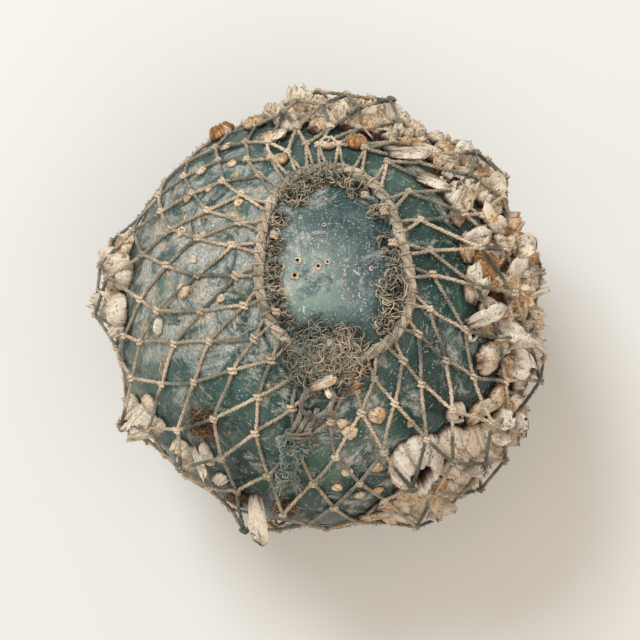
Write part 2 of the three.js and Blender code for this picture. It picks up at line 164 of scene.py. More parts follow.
def sweep(paths, radius, sides, lobes=0, depth=0.0, twist=0.0, closed=False, up=None,
          tint=0.0, shade=0.0):
    # A section carried along each path: path + r*(side*cos t + up*sin t).
    # r swells lobes times round, and the lobes turn by twist radians a millimetre.
    paths = np.asarray(paths, float)
    many, steps = paths.shape[:2]
    if closed:
        forward = unit(np.roll(paths, -1, 1) - np.roll(paths, 1, 1))
    else:
        forward = unit(np.gradient(paths, axis=1))
    up = unit(paths) if up is None else np.broadcast_to(up, paths.shape)
    side = unit(np.cross(forward, up))
    up = np.cross(side, forward)
    pace = np.linalg.norm(np.diff(paths, axis=1), axis=2)
    length = np.concatenate([np.zeros((many, 1)), np.cumsum(pace, 1)], 1)
    t = circle(sides)
    swell = 1 + depth * np.cos(lobes * (t - twist * length[..., None]))
    reach = (np.broadcast_to(radius, (many, steps))[..., None] * swell)[..., None]
    ring = np.cos(t)[:, None] * side[:, :, None] + np.sin(t)[:, None] * up[:, :, None]
    points = paths[:, :, None] + reach * ring
    index = np.arange(many * steps * sides).reshape(many, steps, sides)
    ends = np.roll(index, -1, 1) if closed else index[:, 1:]
    begins = index if closed else index[:, :-1]
    quads = np.stack([begins, ends, np.roll(ends, -1, 2), np.roll(begins, -1, 2)], -1)
    a = length if closed else length[:, :-1]
    b = a + np.linalg.norm(np.roll(paths, -1, 1) - paths, axis=2) if closed else length[:, 1:]
    a, b = a[:, :, None] + 0 * t, b[:, :, None] + 0 * t
    low, high = np.arange(sides) / sides + 0 * a, (np.arange(sides) + 1) / sides + 0 * a
    corners = np.stack([a, low, b, low, b, high, a, high], -1).reshape(-1, 4, 2)
    faces, strands = [quads.reshape(-1, 4)], [corners]
    if not closed:
        faces += [index[:, 0], index[:, -1, ::-1]]
        strands += [np.zeros((many, sides, 2)), np.zeros((many, sides, 2))]
    tint = np.asarray(tint, float)
    tint = tint[:, None, None] if tint.ndim == 1 else tint
    shade = np.asarray(shade, float)
    shade = shade[..., None] if shade.ndim == 2 else shade
    return part(points, faces, strands, tint=tint, shade=shade)


def layUp(path, strands, offset, turns, closed=False, up=None):
    # The strands of a rope: each circles the middle line once for every turn.
    forward = np.roll(path, -1, 0) - np.roll(path, 1, 0) if closed else np.gradient(path, axis=0)
    up = unit(path) if up is None else up
    side = unit(np.cross(unit(forward), up))
    up = np.cross(side, unit(forward))
    share = np.arange(len(path)) / (len(path) if closed else len(path) - 1)
    phase = 2 * np.pi * (turns * share[None] + np.arange(strands)[:, None] / strands)
    return (path + offset * (np.cos(phase)[..., None] * side + np.sin(phase)[..., None] * up))


def curve(points, steps):
    # A smooth line through the points: Catmull-Rom, four neighbours weighted by cubics of t.
    p = np.asarray(points, float)
    last = len(p) - 1
    t = np.arange(steps) * last / (steps - 1)
    i = np.minimum(t.astype(int), last - 1)
    t = (t - i)[:, None]
    a, b, c, d = (p[np.clip(i + k, 0, last)] for k in (-1, 0, 1, 2))
    return 0.5 * (2 * b + (c - a) * t + (2 * a - 5 * b + 4 * c - d) * t**2
                  + (3 * b - a - 3 * c + d) * t**3)


def arcs(centres, radius, span, steps, thickness, drift=0.0, tint=None, normal=None):
    # Curled fibres: centre + r*(e1*cos a + e2*sin a) + e3*drift*a, each in its own random plane.
    many = len(centres)
    e3 = unit(dice.normal(size=(many, 3)) + (0 if normal is None else normal))
    e1 = unit(np.cross(e3, dice.normal(size=(many, 3))))
    e2 = np.cross(e3, e1)
    radius = np.broadcast_to(radius, (many,))[:, None, None]
    span = np.broadcast_to(span, (many,))
    a = (np.linspace(-0.5, 0.5, steps) * span[:, None])[..., None]
    bend = 1 + 0.25 * np.sin(2.3 * a + dice.uniform(0, 6, (many, 1, 1)))
    paths = centres[:, None] + radius * bend * (np.cos(a) * e1[:, None] + np.sin(a) * e2[:, None])
    paths = paths + e3[:, None] * radius * drift * a
    tint = dice.uniform(0, 1, many) if tint is None else tint
    taper = thickness * (1 - 0.5 * np.abs(np.linspace(-1, 1, steps)) ** 3)
    return sweep(paths, taper, 3, up=e3[:, None], tint=tint)


def onBall(centre, local, turn=0.0, lean=(0.0, 0.0)):
    # A place beside a point of the ball: x across, y along the surface, z straight out.
    # Leaning slides a place by lean*z: first down the ball, then sideways.
    across, along = tangents(centre)
    c, s = np.cos(np.radians(turn)), np.sin(np.radians(turn))
    x, y, z = local[..., 0:1], local[..., 1:2], local[..., 2:3]
    down = unit(centre * centre[2] - np.array([0, 0, 1.0]))
    slide = down * lean[0] + np.cross(centre, down) * lean[1]
    flat = across * (x * c - y * s) + along * (x * s + y * c) + slide * z
    direction = unit(centre * ball["radius"] + flat)
    sink = 1 - 0.22 * np.hypot(*lean)
    return direction * (ball["radius"] + ball["gap"] + z * sink)


def facingDown(centre):
    # The angle round a place's own axis that points down the ball.
    across, along = tangents(centre)
    return np.arctan2(-along[2], -across[2])


def dish(grid, centre, foot, shade=0.0, tint=0.0, turn=0.0, lean=(0.0, 0.0)):
    # A grid of rings (rows) round an axis, closed by a point under the first and over the last.
    # The strand map counts millimetres round the first ring and up the wall.
    rows, sides = grid.shape[:2]
    top = grid[-1].mean(0)
    local = np.concatenate([grid.reshape(-1, 3), [[0, 0, foot], top]])
    index = np.arange(rows * sides).reshape(rows, sides)
    ahead = np.roll(index, -1, 1)
    quads = np.stack([index[:-1], ahead[:-1], ahead[1:], index[1:]], -1).reshape(-1, 4)
    low = np.full(sides, rows * sides)
    under = np.stack([low, ahead[0], index[0]], -1)
    over = np.stack([low + 1, index[-1], ahead[-1]], -1)
    pace = np.linalg.norm(np.diff(grid, axis=0), axis=2).mean(1)
    climb = np.concatenate([[0], np.cumsum(pace)])[:, None] + np.zeros(sides)
    lap = np.linalg.norm(grid[0], axis=-1).mean() * 2 * np.pi / sides * np.arange(sides) + 0 * climb
    step = lap[0, 1] + 0 * climb[:-1]
    a, b, here = climb[:-1], climb[1:], lap[:-1]
    corners = np.stack([here, a, here + step, a, here + step, b, here, b], -1).reshape(-1, 4, 2)
    flat = np.stack([lap[0], climb[0]], -1)[:, None] + np.zeros((sides, 3, 2))
    high = np.stack([lap[0], climb[-1]], -1)[:, None] + np.zeros((sides, 3, 2))
    dark = np.broadcast_to(shade, (rows, sides)).reshape(-1)
    dark = np.concatenate([dark, [0, dark[-1]]])
    return part(onBall(centre, local, turn, lean), [quads, under, over], [corners, flat, high],
                shade=dark, tint=tint)


# Materials.

def colour(code):
    # A web colour as linear light.
    c = np.array([int(code[i:i + 2], 16) / 255 for i in (0, 2, 4)])
    c = np.where(c < 0.04045, c / 12.92, ((c + 0.055) / 1.055) ** 2.4)
    return (*c, 1.0)


class Finish:
    # A material with short names for its nodes; the plain values are set on the shader itself.
    def __init__(self, name, **plain):
        self.material = bpy.data.materials.new(name)
        self.material.use_nodes = True
        self.nodes = self.material.node_tree.nodes
        self.links = self.material.node_tree.links
        self.shader = self.nodes["Principled BSDF"]
        for key, value in plain.items():
            self.shader.inputs[key.replace("_", " ")].default_value = value
        self.place = self.add("TexCoord").outputs["Object"]

    def add(self, kind, inputs=None, **settings):
        made = self.nodes.new("ShaderNode" + kind)
        for key, value in settings.items():
            setattr(made, key, value)
        for key, value in (inputs or {}).items():
            if isinstance(value, bpy.types.NodeSocket):
                self.links.new(value, made.inputs[key])
            else:
                made.inputs[key].default_value = value
        return made

    def noise(self, scale, detail=4, rough=0.6, warp=0.0, place=None):
        inputs = {"Vector": place or self.place, "Scale": scale, "Detail": detail,
                  "Roughness": rough, "Distortion": warp}
        return self.add("TexNoise", inputs).outputs["Fac"]

    def cells(self, scale):
        return self.add("TexVoronoi", {"Vector": self.place, "Scale": scale}).outputs["Distance"]

    def stretch(self, scale, turn=(0, 0, 0), shift=(0, 0, 0)):
        inputs = {"Vector": self.place, "Scale": scale, "Rotation": np.radians(turn), "Location": shift}
        return self.add("Mapping", inputs).outputs["Vector"]

    def value(self, name):
        return self.add("Attribute", attribute_name=name).outputs["Fac"]

    def maths(self, kind, a, b=0, clamp=False):
        return self.add("Math", {0: a, 1: b}, operation=kind, use_clamp=clamp).outputs[0]

    def plus(self, a, b, clamp=False):
        return self.maths("ADD", a, b, clamp)

    def minus(self, a, b):
        return self.maths("SUBTRACT", a, b)

    def times(self, a, b):
        return self.maths("MULTIPLY", a, b)

    def moved(self, x, y, z):
        # The same pattern taken from another place.
        return self.stretch((1, 1, 1), shift=(x, y, z))

    def between(self, value, low, high):
        # 0 below low, 1 above high, straight between.
        inputs = {"Value": value, "From Min": low, "From Max": high}
        return self.add("MapRange", inputs, clamp=True).outputs["Result"]

    def mix(self, share, a, b, blend="MIX"):
        a, b = (colour(c) if isinstance(c, str) else c for c in (a, b))
        made = self.add("Mix", {0: share, 6: a, 7: b}, data_type="RGBA", blend_type=blend)
        return made.outputs[2]

    def ramp(self, value, stops):
        made = self.add("ValToRGB", {"Fac": value})
        elements = made.color_ramp.elements
        while len(elements) < len(stops):
            elements.new(0.5)
        for element, (at, code) in zip(elements, stops):
            element.position, element.color = at, colour(code)
        return made.outputs["Color"]

    def near(self, bearing, drop, inner, outer):
        # 1 within inner millimetres of a place on the ball, falling to 0 at outer.
        place = outward(bearing, drop) * ball["radius"] / 1000 + [0, 0, ball["height"] / 1000]
        apart = self.add("VectorMath", {0: self.place, 1: place}, operation="SUBTRACT").outputs[0]
        away = self.add("VectorMath", {0: apart}, operation="LENGTH").outputs["Value"]
        return self.between(away, outer / 1000, inner / 1000)

    def finish(self, base, rough=None, height=None, depth=0.001, strength=1.0):
        self.links.new(base, self.shader.inputs["Base Color"])
        if rough is not None:
            self.links.new(rough, self.shader.inputs["Roughness"])
        if height is not None:
            bump = self.add("Bump", {"Height": height, "Distance": depth, "Strength": strength})
            self.links.new(bump.outputs["Normal"], self.shader.inputs["Normal"])
        return self.material


def glassFinish():
    # Deep green glass, slate and mint inside the ring, under salt film, specks, scratches and mud.
    f = Finish("oldGreenGlass", Transmission_Weight=0.15, IOR=1.45, Coat_Weight=0.05, Coat_Roughness=0.4,
               Specular_IOR_Level=0.3)
    green = f.ramp(f.noise(14, 3, 0.55, 0.6), [(0.3, "10261f"), (0.5, "22433b"), (0.68, "496b62")])
    window = f.near(82, 14.5, 24, 58)
    slate = f.ramp(f.noise(36, 6, 0.68, 0.5), [(0.34, "25353a"), (0.5, "44585a"), (0.66, "6b7d7c")])
    slate = f.mix(f.near(97, 12, 4, 40), slate, "6b7c76")
    slate = f.mix(f.near(150, 9, 2, 36), slate, "90ab99")
    slate = f.mix(f.between(f.noise(60, 5, 0.7, 1.0), 0.52, 0.66), slate, "33474a")
    base = f.mix(window, green, slate)
    # Fine grain breaks each layer of dirt into dots.
    grain = f.between(f.noise(560, 8, 0.85), 0.43, 0.59)
    left = f.times(f.near(160, 42, 40, 110), 0.108)
    near = f.times(f.near(-85, 32, 20, 75), 0.06)
    cover = f.plus(f.plus(left, near), f.times(window, -0.03))
    veil = f.plus(f.noise(20, 5, 0.6, 0.8, f.moved(1, 4, 2)), cover)
    base = f.mix(f.times(f.between(veil, 0.5, 0.75), 0.42), base, "7d9188")
    cloud = f.between(f.plus(f.noise(38, 9, 0.76, 0.9), cover), 0.535, 0.64)
    haze = f.times(cloud, f.plus(f.times(grain, 0.72), 0.26))
    base = f.mix(haze, base, "e8e9e0")
    mud = f.noise(34, 7, 0.7, 2.0, f.moved(3, 1, 2))
    mud = f.between(f.plus(mud, cover), 0.615, 0.69)
    mud = f.times(mud, f.between(f.noise(520, 5, 0.8), 0.42, 0.55))
    base = f.mix(f.times(mud, 0.92), base, "cfb593")
    salt = f.times(f.between(f.noise(800, 4, 0.8), 0.57, 0.63), f.plus(window, 0.35, True))
    base = f.mix(f.times(salt, 0.5), base, "dfe6e0")
    specks = f.times(f.between(f.cells(380), 0.2, 0.08), f.between(f.noise(48, 4), 0.46, 0.58))
    base = f.mix(specks, base, "f3f4ec")
    dots = f.noise(33, 3, 0.5, 0.0, f.moved(7, 3, 5))
    dots = f.times(f.between(f.cells(110), 0.15, 0.09), f.between(dots, 0.5, 0.58))
    base = f.mix(f.times(dots, 0.9), base, "cfa47a")
    lines = f.noise(90, 4, 0.65, 0.3, f.stretch((1, 1, 11), (35, 20, 60)))
    more = f.noise(90, 4, 0.65, 0.3, f.stretch((9, 1, 1), (15, 40, 20)))
    scratch = f.plus(f.between(lines, 0.64, 0.68), f.between(more, 0.65, 0.69), True)
    base = f.mix(f.times(scratch, 0.6), base, "d5ddd2")
    dirtAndGrooveShade = f.plus(haze, mud, True)
    rough = f.plus(f.times(dirtAndGrooveShade, 0.4), f.times(grain, 0.3), True)
    rough = f.plus(rough, 0.25, True)
    height = f.plus(f.times(dirtAndGrooveShade, 0.7), f.times(f.noise(110, 3), 0.5))
    return f.finish(base, rough, height, 0.0006, 0.8)


def twineFinish(name, stops, plies=2, pitch=5.0, dirtAndGrooveShade=0.7):
    # Weathered fibre: the lay of the plies from the strand map, painted shade and dirt in the grooves between
    # plies, and bleached patches.
    f = Finish(name, Roughness=0.95, Specular_IOR_Level=0.2, Sheen_Weight=0.25, Sheen_Roughness=0.6)
    strand = f.add("UVMap", uv_map="strand").outputs["UV"]
    split = f.add("SeparateXYZ", {0: strand})
    along, around = split.outputs[0], split.outputs[1]
    lay = f.minus(f.times(around, plies), f.times(along, plies / pitch))
    groove = f.maths("COSINE", f.times(lay, 2 * np.pi))
    threads = f.plus(f.times(around, 9), f.times(along, 0.5))
    fine = f.maths("COSINE", f.times(threads, 2 * np.pi))
    fibre = f.noise(900, 4, 0.7)
    patch = f.noise(28, 5, 0.65, 0.8)
    shade = f.plus(patch, f.times(f.minus(fibre, 0.5), 0.45))
    shade = f.plus(shade, f.times(f.minus(f.value("tint"), 0.5), 0.22))
    base = f.ramp(shade, stops)
    # Painted shade and dirt: a darker colour in the grooves between the plies.
    dark = f.between(f.plus(groove, f.times(fibre, 0.6)), -0.1, -0.9)
    base = f.mix(f.times(dark, dirtAndGrooveShade), base, "2f2a20")
    base = f.mix(f.value("shade"), base, f.mix(1.0, base, "7d8d82", "MULTIPLY"))
    height = f.plus(f.times(groove, 0.5), f.times(fine, 0.12))
    height = f.plus(height, f.times(fibre, 0.8))
    return f.finish(base, None, height, 0.0005, 0.9)


def shellFinish():
    # Chalky shell, white to tan, with rust streaks up the wall, and painted shade: brown in the grooves, near
    # black in the hollows.
    f = Finish("barnacleShell", Roughness=0.85, Specular_IOR_Level=0.25)
    strand = f.add("UVMap", uv_map="strand").outputs["UV"]
    lines = f.add("Mapping", {"Vector": strand, "Scale": (0.9, 0.16, 1)}).outputs["Vector"]
    streaks = f.noise(1.0, 5, 0.65, 0.6, lines)
    broad = f.noise(70, 5, 0.7, 0.8)
    own = f.value("tint")
    tone = f.plus(f.times(streaks, 0.55), f.times(broad, 0.45))
    tone = f.plus(tone, f.times(f.minus(own, 0.40), 0.27))
    base = f.ramp(tone, [(0.42, "fff5e0"), (0.52, "ffe8c6"), (0.585, "f0c898"), (0.66, "c08a55"),
                         (0.80, "643f26")])
    chalk = f.between(f.noise(90, 5, 0.6, 0.5, f.moved(5, 2, 1)), 0.515, 0.58)
    chalk = f.times(chalk, f.between(own, 0.85, 0.55))
    base = f.mix(f.times(chalk, 0.75), base, "fff0d9")
    shade = f.value("shade")
    # Painted shade from the shade attribute: brown in grooves, at the feet and in the gaps.
    base = f.mix(f.times(f.between(shade, 0.2, 0.68), 0.85), base, "63402a")
    stain = f.noise(150, 6, 0.75, 1.2, f.moved(2, 6, 4))
    base = f.mix(f.times(f.between(stain, 0.57, 0.65), 0.45), base, "ab7a4e")
    where = f.between(f.noise(480, 3, 0.65), 0.58, 0.64)
    pits = f.times(where, f.between(f.noise(60, 3), 0.42, 0.54))
    base = f.mix(f.times(pits, 0.85), base, "4a3020")
    # Cracks: thin lines where a second streaky noise passes one half.
    apart = f.maths("ABSOLUTE", f.minus(f.noise(0.9, 3, 0.6, 1.2, lines), 0.5))
    crack = f.times(f.between(apart, 0.010, 0.003), f.between(f.noise(95, 3), 0.47, 0.55))
    base = f.mix(f.times(crack, 0.8), base, "50301d")
    # Painted shade: near black deep in the mouths and the gaps by the glass.
    base = f.mix(f.between(shade, 0.5, 0.95), base, "150d08")
    height = f.plus(f.times(streaks, 1.1), f.times(f.noise(420, 5, 0.75), 0.9))
    height = f.minus(height, f.times(crack, 0.5))
    return f.finish(base, None, height, 0.0018, 1.0)


def growthFinish(name, stops, hollowShade="1c1812"):
    # Dry fibrous growth: each fibre has its own tone, with painted shade on the deep fibres from the shade
    # attribute.
    f = Finish(name, Roughness=0.95, Specular_IOR_Level=0.15, Sheen_Weight=0.2)
    tone = f.plus(f.times(f.value("tint"), 0.7), f.times(f.noise(240, 4, 0.7), 0.45))
    base = f.ramp(tone, stops)
    # Painted shade: the dark hollow colour where the shade attribute is high.
    base = f.mix(f.value("shade"), base, hollowShade)
    return f.finish(base, None, f.noise(1100, 3, 0.7), 0.0004, 0.7)


netTwine = twineFinish("netTwine", [(0.27, "545a50"), (0.42, "8a8571"), (0.56, "c4b092"), (0.72, "efd8b8")])
ringRope = twineFinish("ringRope", [(0.27, "67604f"), (0.42, "988c77"), (0.56, "c2b39a"), (0.74, "e8dac3")],
                       5, 60.0, 0.45)
darkRope = twineFinish("darkRope", [(0.27, "3f3f38"), (0.42, "767060"), (0.58, "ab9f89"), (0.76, "d2c4a8")],
                       4, 30.0, 0.55)
shell = shellFinish()
hydroid = growthFinish("hydroid", [(0.2, "4d5a52"), (0.40, "818a7c"), (0.6, "b0a28b"), (0.82, "dcc8a8")],
                       "12110e")
brownWeed = growthFinish("brownWeed", [(0.15, "2d1c10"), (0.4, "5a3c24"), (0.65, "84603c"), (0.9, "a98a62")])
tealFibre = growthFinish("tealFibre", [(0.2, "36544e"), (0.42, "66807a"), (0.68, "98a798"), (0.9, "c9c3aa")])
print("finishes made")


# Growth on the ball, by bearing, drop, radius and height.

def barnacle(bearing, drop, radius, height, mouth=0.5, lean=(0.25, 0), tint=0.4, teeth=1.0):
    # mouth is the mouth's share of the foot, teeth how broken the rim is.
    return dict(bearing=bearing, drop=drop, radius=radius, height=height, mouth=mouth, flute=0.1,
                kind="barnacle", lean=lean, tint=tint, teeth=teeth)


def dome(bearing, drop, radius, height, tint=0.6):
    # A closed round shell.
    return dict(bearing=bearing, drop=drop, radius=radius, height=height, mouth=0.6, flute=0,
                kind="dome", tint=tint)


def crust(bearing, drop, radius):
    # The low patch that a colony grows on.
    return dict(bearing=bearing, drop=drop, radius=radius, height=2, mouth=0.84, flute=0,
                kind="crust", tint=0.8)


def plate(bearing, drop, radius, stretch, turn, height=3.4, tint=0.2):
    # A flat shell, stretched along its turn.
    return {**dome(bearing, drop, radius, height, tint), "stretch": stretch, "turn": turn, "kind": "plate"}


def cup(bearing, drop, level, turn, length, width, tilt=0.2, curl=-0.4, tint=0.1):
    # A broken shell: turn is where its length points, tilt 0 stands up and tilt 80 lies flat.
    return dict(bearing=bearing, drop=drop, level=level, turn=turn, length=length, width=width, tilt=tilt,
                curl=curl, tint=tint, kind="cup")


def spike(bearing, drop, radius, height):
    # A tall narrow shell.
    return {**barnacle(bearing, drop, radius, height, 0.3), "kind": "spike", "tint": 0.1}


# These are in the solids too, without lean, teeth and tint, and the net is lifted over them.
colonies = {
    "barnacles_top": [
        crust(97, 70, 20), crust(84, 67, 20), crust(70, 64, 20), barnacle(97, 77, 11, 19, tint=0.3),
        dome(100, 62, 8, 7, 0.3), barnacle(90, 71, 11, 13, 0.6), barnacle(76, 73, 11, 13),
        dome(83, 64, 7, 8, 0.5), dome(71, 62, 9, 6, 0.4), plate(65, 57, 8, 1.8, -15)],
    "barnacles_upper_right": [
        crust(46, 57, 18), crust(43, 70, 20), plate(51, 51, 8, 1.6, -25), barnacle(49, 71, 10, 11),
        barnacle(42, 79, 10, 12), dome(42, 58, 9, 7, 0.4), dome(35, 73, 8, 9, 0.8)],
    "barnacles_right": [
        crust(22, 58, 20), crust(8, 56, 20), crust(-6, 58, 20), crust(14, 68, 16),
        dome(26, 65, 8, 6, 0.85), plate(28, 51, 7, 1.3, 40, 6), dome(18, 48, 12, 10, 0.95),
        dome(16, 74, 8, 12, 0.9), plate(13, 42, 9, 1.4, 70, 5, 0.05), barnacle(3, 46, 9, 7, 0.6),
        plate(-3, 46, 9, 1.4, 0, 4, 0.05), plate(-9, 52, 9, 1.3, 60, 5), dome(-4, 63, 9, 6),
        barnacle(-11, 68, 12, 15, 0.7, tint=0.2), barnacle(-14, 48, 11, 7, tint=0.35)],
    "barnacles_lower_right": [
        crust(-38, 67, 21), crust(-46, 75, 15),
        {**barnacle(-57, 47, 19, 19, 0.52, (0.45, -0.2), 0.05, 0.8), "tip": -0.08},
        barnacle(-45, 50, 12, 12, 0.5, (0.9, 0), 0.2), barnacle(-41, 57, 14, 12, 0.6, (0.9, -0.3), 0.4),
        plate(-46, 69, 10, 1.3, 30, 7), barnacle(-39, 76, 10, 11), dome(-28, 68, 9, 7),
        barnacle(-32, 74, 9, 11), barnacle(-50, 81, 10, 14)],
    "barnacles_lower": [
        crust(-63, 68, 18), dome(-65, 60, 9, 8), barnacle(-61, 71, 12, 14, 0.6),
        barnacle(-64, 78, 10, 12)],
    "barnacle_pair_upper_left": [
        crust(164, 78, 14), barnacle(166, 74, 10, 14, tint=0.3), dome(164, 84, 8, 19, 0.3)],
    "barnacle_pair_lower_left": [
        crust(176, 77, 14), barnacle(176, 84, 8, 20, tint=0.2), barnacle(177, 70, 9, 12, tint=0.2)],
    "barnacle_lower_left": [barnacle(-151, 74, 13, 18, 0.6, tint=0.3, teeth=1.4)],
    "barnacle_cap_lower_left": [dome(-154, 63, 7, 6, 0.5)],
    "barnacle_broken": [barnacle(-137, 61, 8, 9, 0.75, teeth=1.8)],
    "shell_oval": [plate(-123, 61, 5, 1.6, 20, 5, 0.05)],
    "shell_spike_small": [plate(-131, 54, 4, 2.6, 80, 6, 0.1)],
    "shell_spike_large": [spike(-109, 72, 9, 27)],
    "shell_tooth": [plate(-177, 48, 3.5, 1.7, 70, 5, 0.0)],
    "barnacles_back_right": [barnacle(30, 110, 11, 12), barnacle(25, 114, 9, 8)],
    "barnacles_back_left": [barnacle(134, 105, 9, 10), dome(139, 109, 8, 6)],
    "barnacles_under_front": [barnacle(-98, 108, 10, 12), dome(-101, 112, 8, 6)],
    "barnacle_under_right": [barnacle(-20, 127, 9, 8)],
    "barnacle_under_back": [barnacle(82, 126, 10, 8)],
    "barnacle_under_left": [barnacle(-162, 122, 9, 7)],
}

# More growths, up to 30 mm long, that fill the gaps in the patches and are only made here.
fillers = {
    "barnacles_top": [
        barnacle(89, 51, 6, 5, 0.7), dome(80, 53, 8, 7, 0.95), plate(106, 58, 7, 1.2, 20, 6, 0.1),
        dome(106, 47, 6, 5, 0.75), barnacle(119, 80, 9, 10, 0.7, tint=1.0),
        barnacle(65, 71, 9, 10, tint=0.5), barnacle(70, 79, 9, 9), barnacle(58, 77, 8, 8, tint=0.3),
        barnacle(85, 77, 10, 12), barnacle(80, 75, 9, 9, tint=0.2), plate(62, 61, 9, 1.5, -20, 6, 0.4),
        barnacle(103, 75, 9, 11, tint=0.2), barnacle(110, 72, 8, 8, tint=0.6),
        plate(91, 61, 9, 1.4, 60, 7, 0.3), plate(76, 63, 8, 1.4, 100, 8, 0.3), dome(67, 67, 8, 9, 0.6),
        cup(64, 53, 7, -5, 27, 7.5, 80, -0.3, 0.15), cup(96, 72, 3, 100, 18, 9, 20, -0.4, 0.3),
        cup(72, 70, 3, 80, 17, 8, 25, 0.4, 0.1), cup(86, 66, 4, 60, 16, 8, 50, -0.4, 0.35),
        crust(80, 80, 13), crust(98, 82, 11)],
    "barnacles_upper_right": [
        plate(57, 62, 8, 1.5, -30, 6, 0.4), barnacle(38, 64, 9, 9, tint=0.3),
        barnacle(46, 80, 8, 9, tint=0.2), dome(50, 63, 8, 7, 0.7), plate(38, 48, 7, 1.3, 60, 4, 0.3),
        plate(54, 69, 9, 1.4, 10, 9, 0.2), barnacle(34, 66, 8, 8, tint=0.6),
        plate(44, 64, 8, 1.3, 60, 9, 0.1), barnacle(40, 72, 9, 10, tint=0.4),
        cup(52, 49, 5, -28, 22, 5.5, 82, -0.3, 0.1), cup(47, 60, 7, -30, 22, 8, 75, -0.3, 0.2),
        cup(50, 68, 4, 40, 18, 8, 30, -0.4, 0.1), cup(38, 69, 4, 30, 17, 9, 30, 0.4, 0.3),
        crust(50, 80, 12)],
    "barnacles_right": [
        plate(26, 44, 7, 1.3, 80, 5, 0.2), barnacle(22, 58, 9, 9, tint=0.4),
        plate(10, 58, 9, 1.3, 60, 8, 0.1), barnacle(-6, 40, 7, 5, 0.6, tint=0.0),
        plate(-5, 59, 9, 1.4, 20, 8, 0.2), dome(12, 50, 8, 7, 0.9), barnacle(21, 70, 9, 11, tint=0.8),
        barnacle(8, 66, 9, 11, 0.6), barnacle(0, 72, 9, 12, 0.6, tint=0.3),
        barnacle(-7, 74, 9, 11, tint=0.2), plate(-2, 54, 8, 1.5, 80, 7, 0.0),
        plate(30, 60, 8, 1.4, 120, 8, 0.3), barnacle(11, 75, 9, 12, tint=0.3),
        barnacle(27, 74, 9, 11, tint=0.5), plate(-15, 57, 9, 1.3, 0, 7, 0.1),
        barnacle(-18, 68, 8, 8, tint=0.3), plate(4, 60, 9, 1.4, 100, 9, 0.3), dome(24, 52, 7, 7, 0.8),
        cup(0, 42, 8, 20, 30, 7, 80, -0.35, 0.0), cup(-8, 55, 2, 60, 25, 11, 15, -0.45, 0.0),
        cup(-13, 57, 2, 180, 27, 12, 20, -0.45, 0.2), cup(-3, 52, 4, -45, 24, 9, 55, -0.4, 0.0),
        cup(-15, 46, 6, 10, 17, 9, 78, -0.45, 0.45), cup(28, 46, 6, 15, 22, 8, 72, -0.35, 0.15),
        cup(14, 58, 5, 70, 18, 9, 40, -0.4, 0.1), cup(20, 64, 4, 20, 18, 9, 30, 0.4, 0.2),
        cup(6, 66, 3, 100, 19, 9, 15, -0.4, 0.1), cup(10, 44, 5, 70, 17, 7, 75, -0.35, 0.05)],
    "barnacles_lower_right": [
        plate(-25, 58, 9, 1.4, 60, 6, 0.2), barnacle(-36, 45, 8, 8, 0.5, (0.4, 0), 0.0),
        barnacle(-45, 76, 9, 11, 0.6), barnacle(-38, 69, 9, 10, tint=0.3),
        plate(-27, 66, 9, 1.4, 50, 9, 0.1), barnacle(-28, 80, 9, 11, tint=0.2),
        barnacle(-33, 82, 9, 10, 0.4, tint=0.0), barnacle(-50, 61, 10, 10, 0.5, (0.8, 0.2), 0.3),
        barnacle(-35, 61, 10, 11, 0.5, (0.8, 0), 0.4), plate(-48, 67, 9, 1.4, -50, 8, 0.1),
        plate(-32, 53, 8, 1.3, 40, 6, 0.3), barnacle(-43, 82, 8, 10, tint=0.5),
        cup(-30, 60, 2, 150, 22, 9, 20, -0.4, 0.15), cup(-34, 63, 2, 120, 20, 8, 15, 0.35, 0.1),
        cup(-29, 69, 2, 150, 20, 9, 15, -0.4, 0.0), cup(-34, 72, 2, 130, 18, 8, 15, -0.35, 0.0),
        cup(-46, 64, 5, 130, 20, 8, 30, -0.4, 0.2), cup(-41, 66, 5, 60, 18, 8, 45, -0.35, 0.1),
        crust(-40, 84, 12), crust(-50, 84, 12), crust(-29, 80, 11), barnacle(-45, 87, 9, 13, tint=0.2),
        barnacle(-37, 88, 8, 11), cup(-31, 77, 3, 140, 16, 8, 15, -0.4, 0.1)],
    "barnacles_lower": [
        barnacle(-57, 79, 9, 10, tint=0.3), plate(-70, 65, 8, 1.5, 10, 5, 0.1),
        barnacle(-54, 71, 9, 10, tint=0.2), plate(-63, 64, 8, 1.3, 0, 7, 0.3),
        barnacle(-71, 75, 8, 9, tint=0.4), dome(-56, 66, 8, 8, 0.9), plate(-76, 70, 7, 1.5, 15, 4, 0.2),
        cup(-62, 74, 3, 110, 18, 8, 20, -0.4, 0.0), cup(-70, 72, 3, 20, 20, 6, 60, -0.3, 0.1),
        cup(-57, 76, 3, 130, 17, 8, 20, 0.4, 0.1), crust(-63, 82, 14)],
    "barnacle_pair_upper_left": [
        dome(165, 80, 12, 16, 0.25), dome(168, 69, 10.5, 13, 0.3), barnacle(159, 78, 7, 10, tint=0.4)],
    "barnacle_pair_lower_left": [
        dome(176, 81, 12, 16, 0.0), dome(179, 70, 9.5, 12, 0.05),
        cup(175, 72, 4, 80, 20, 8, 40, -0.4, 0.0)],
    "barnacle_lower_left": [
        barnacle(-147, 63, 5, 9, tint=0.2), barnacle(-156, 74, 6, 9, tint=0.3),
        barnacle(-150, 68, 12, 19, 0.35, (0.55, 0.1), 0.05)],
    "shell_spike_small": [cup(-131.5, 57, 4, -78, 24, 5.5, 72, -0.4, 0.0)],
    "barnacle_broken": [plate(-133, 64, 5, 1.6, 60, 7, 0.1)],
}

weedTufts = {
    "weed_tuft_left": dome(-139, 45, 11, 8),
    "weed_tuft_lower": dome(-116, 66, 7, 7),
    "weed_tuft_bottom": dome(-102, 61, 8, 7),
}


# Net.

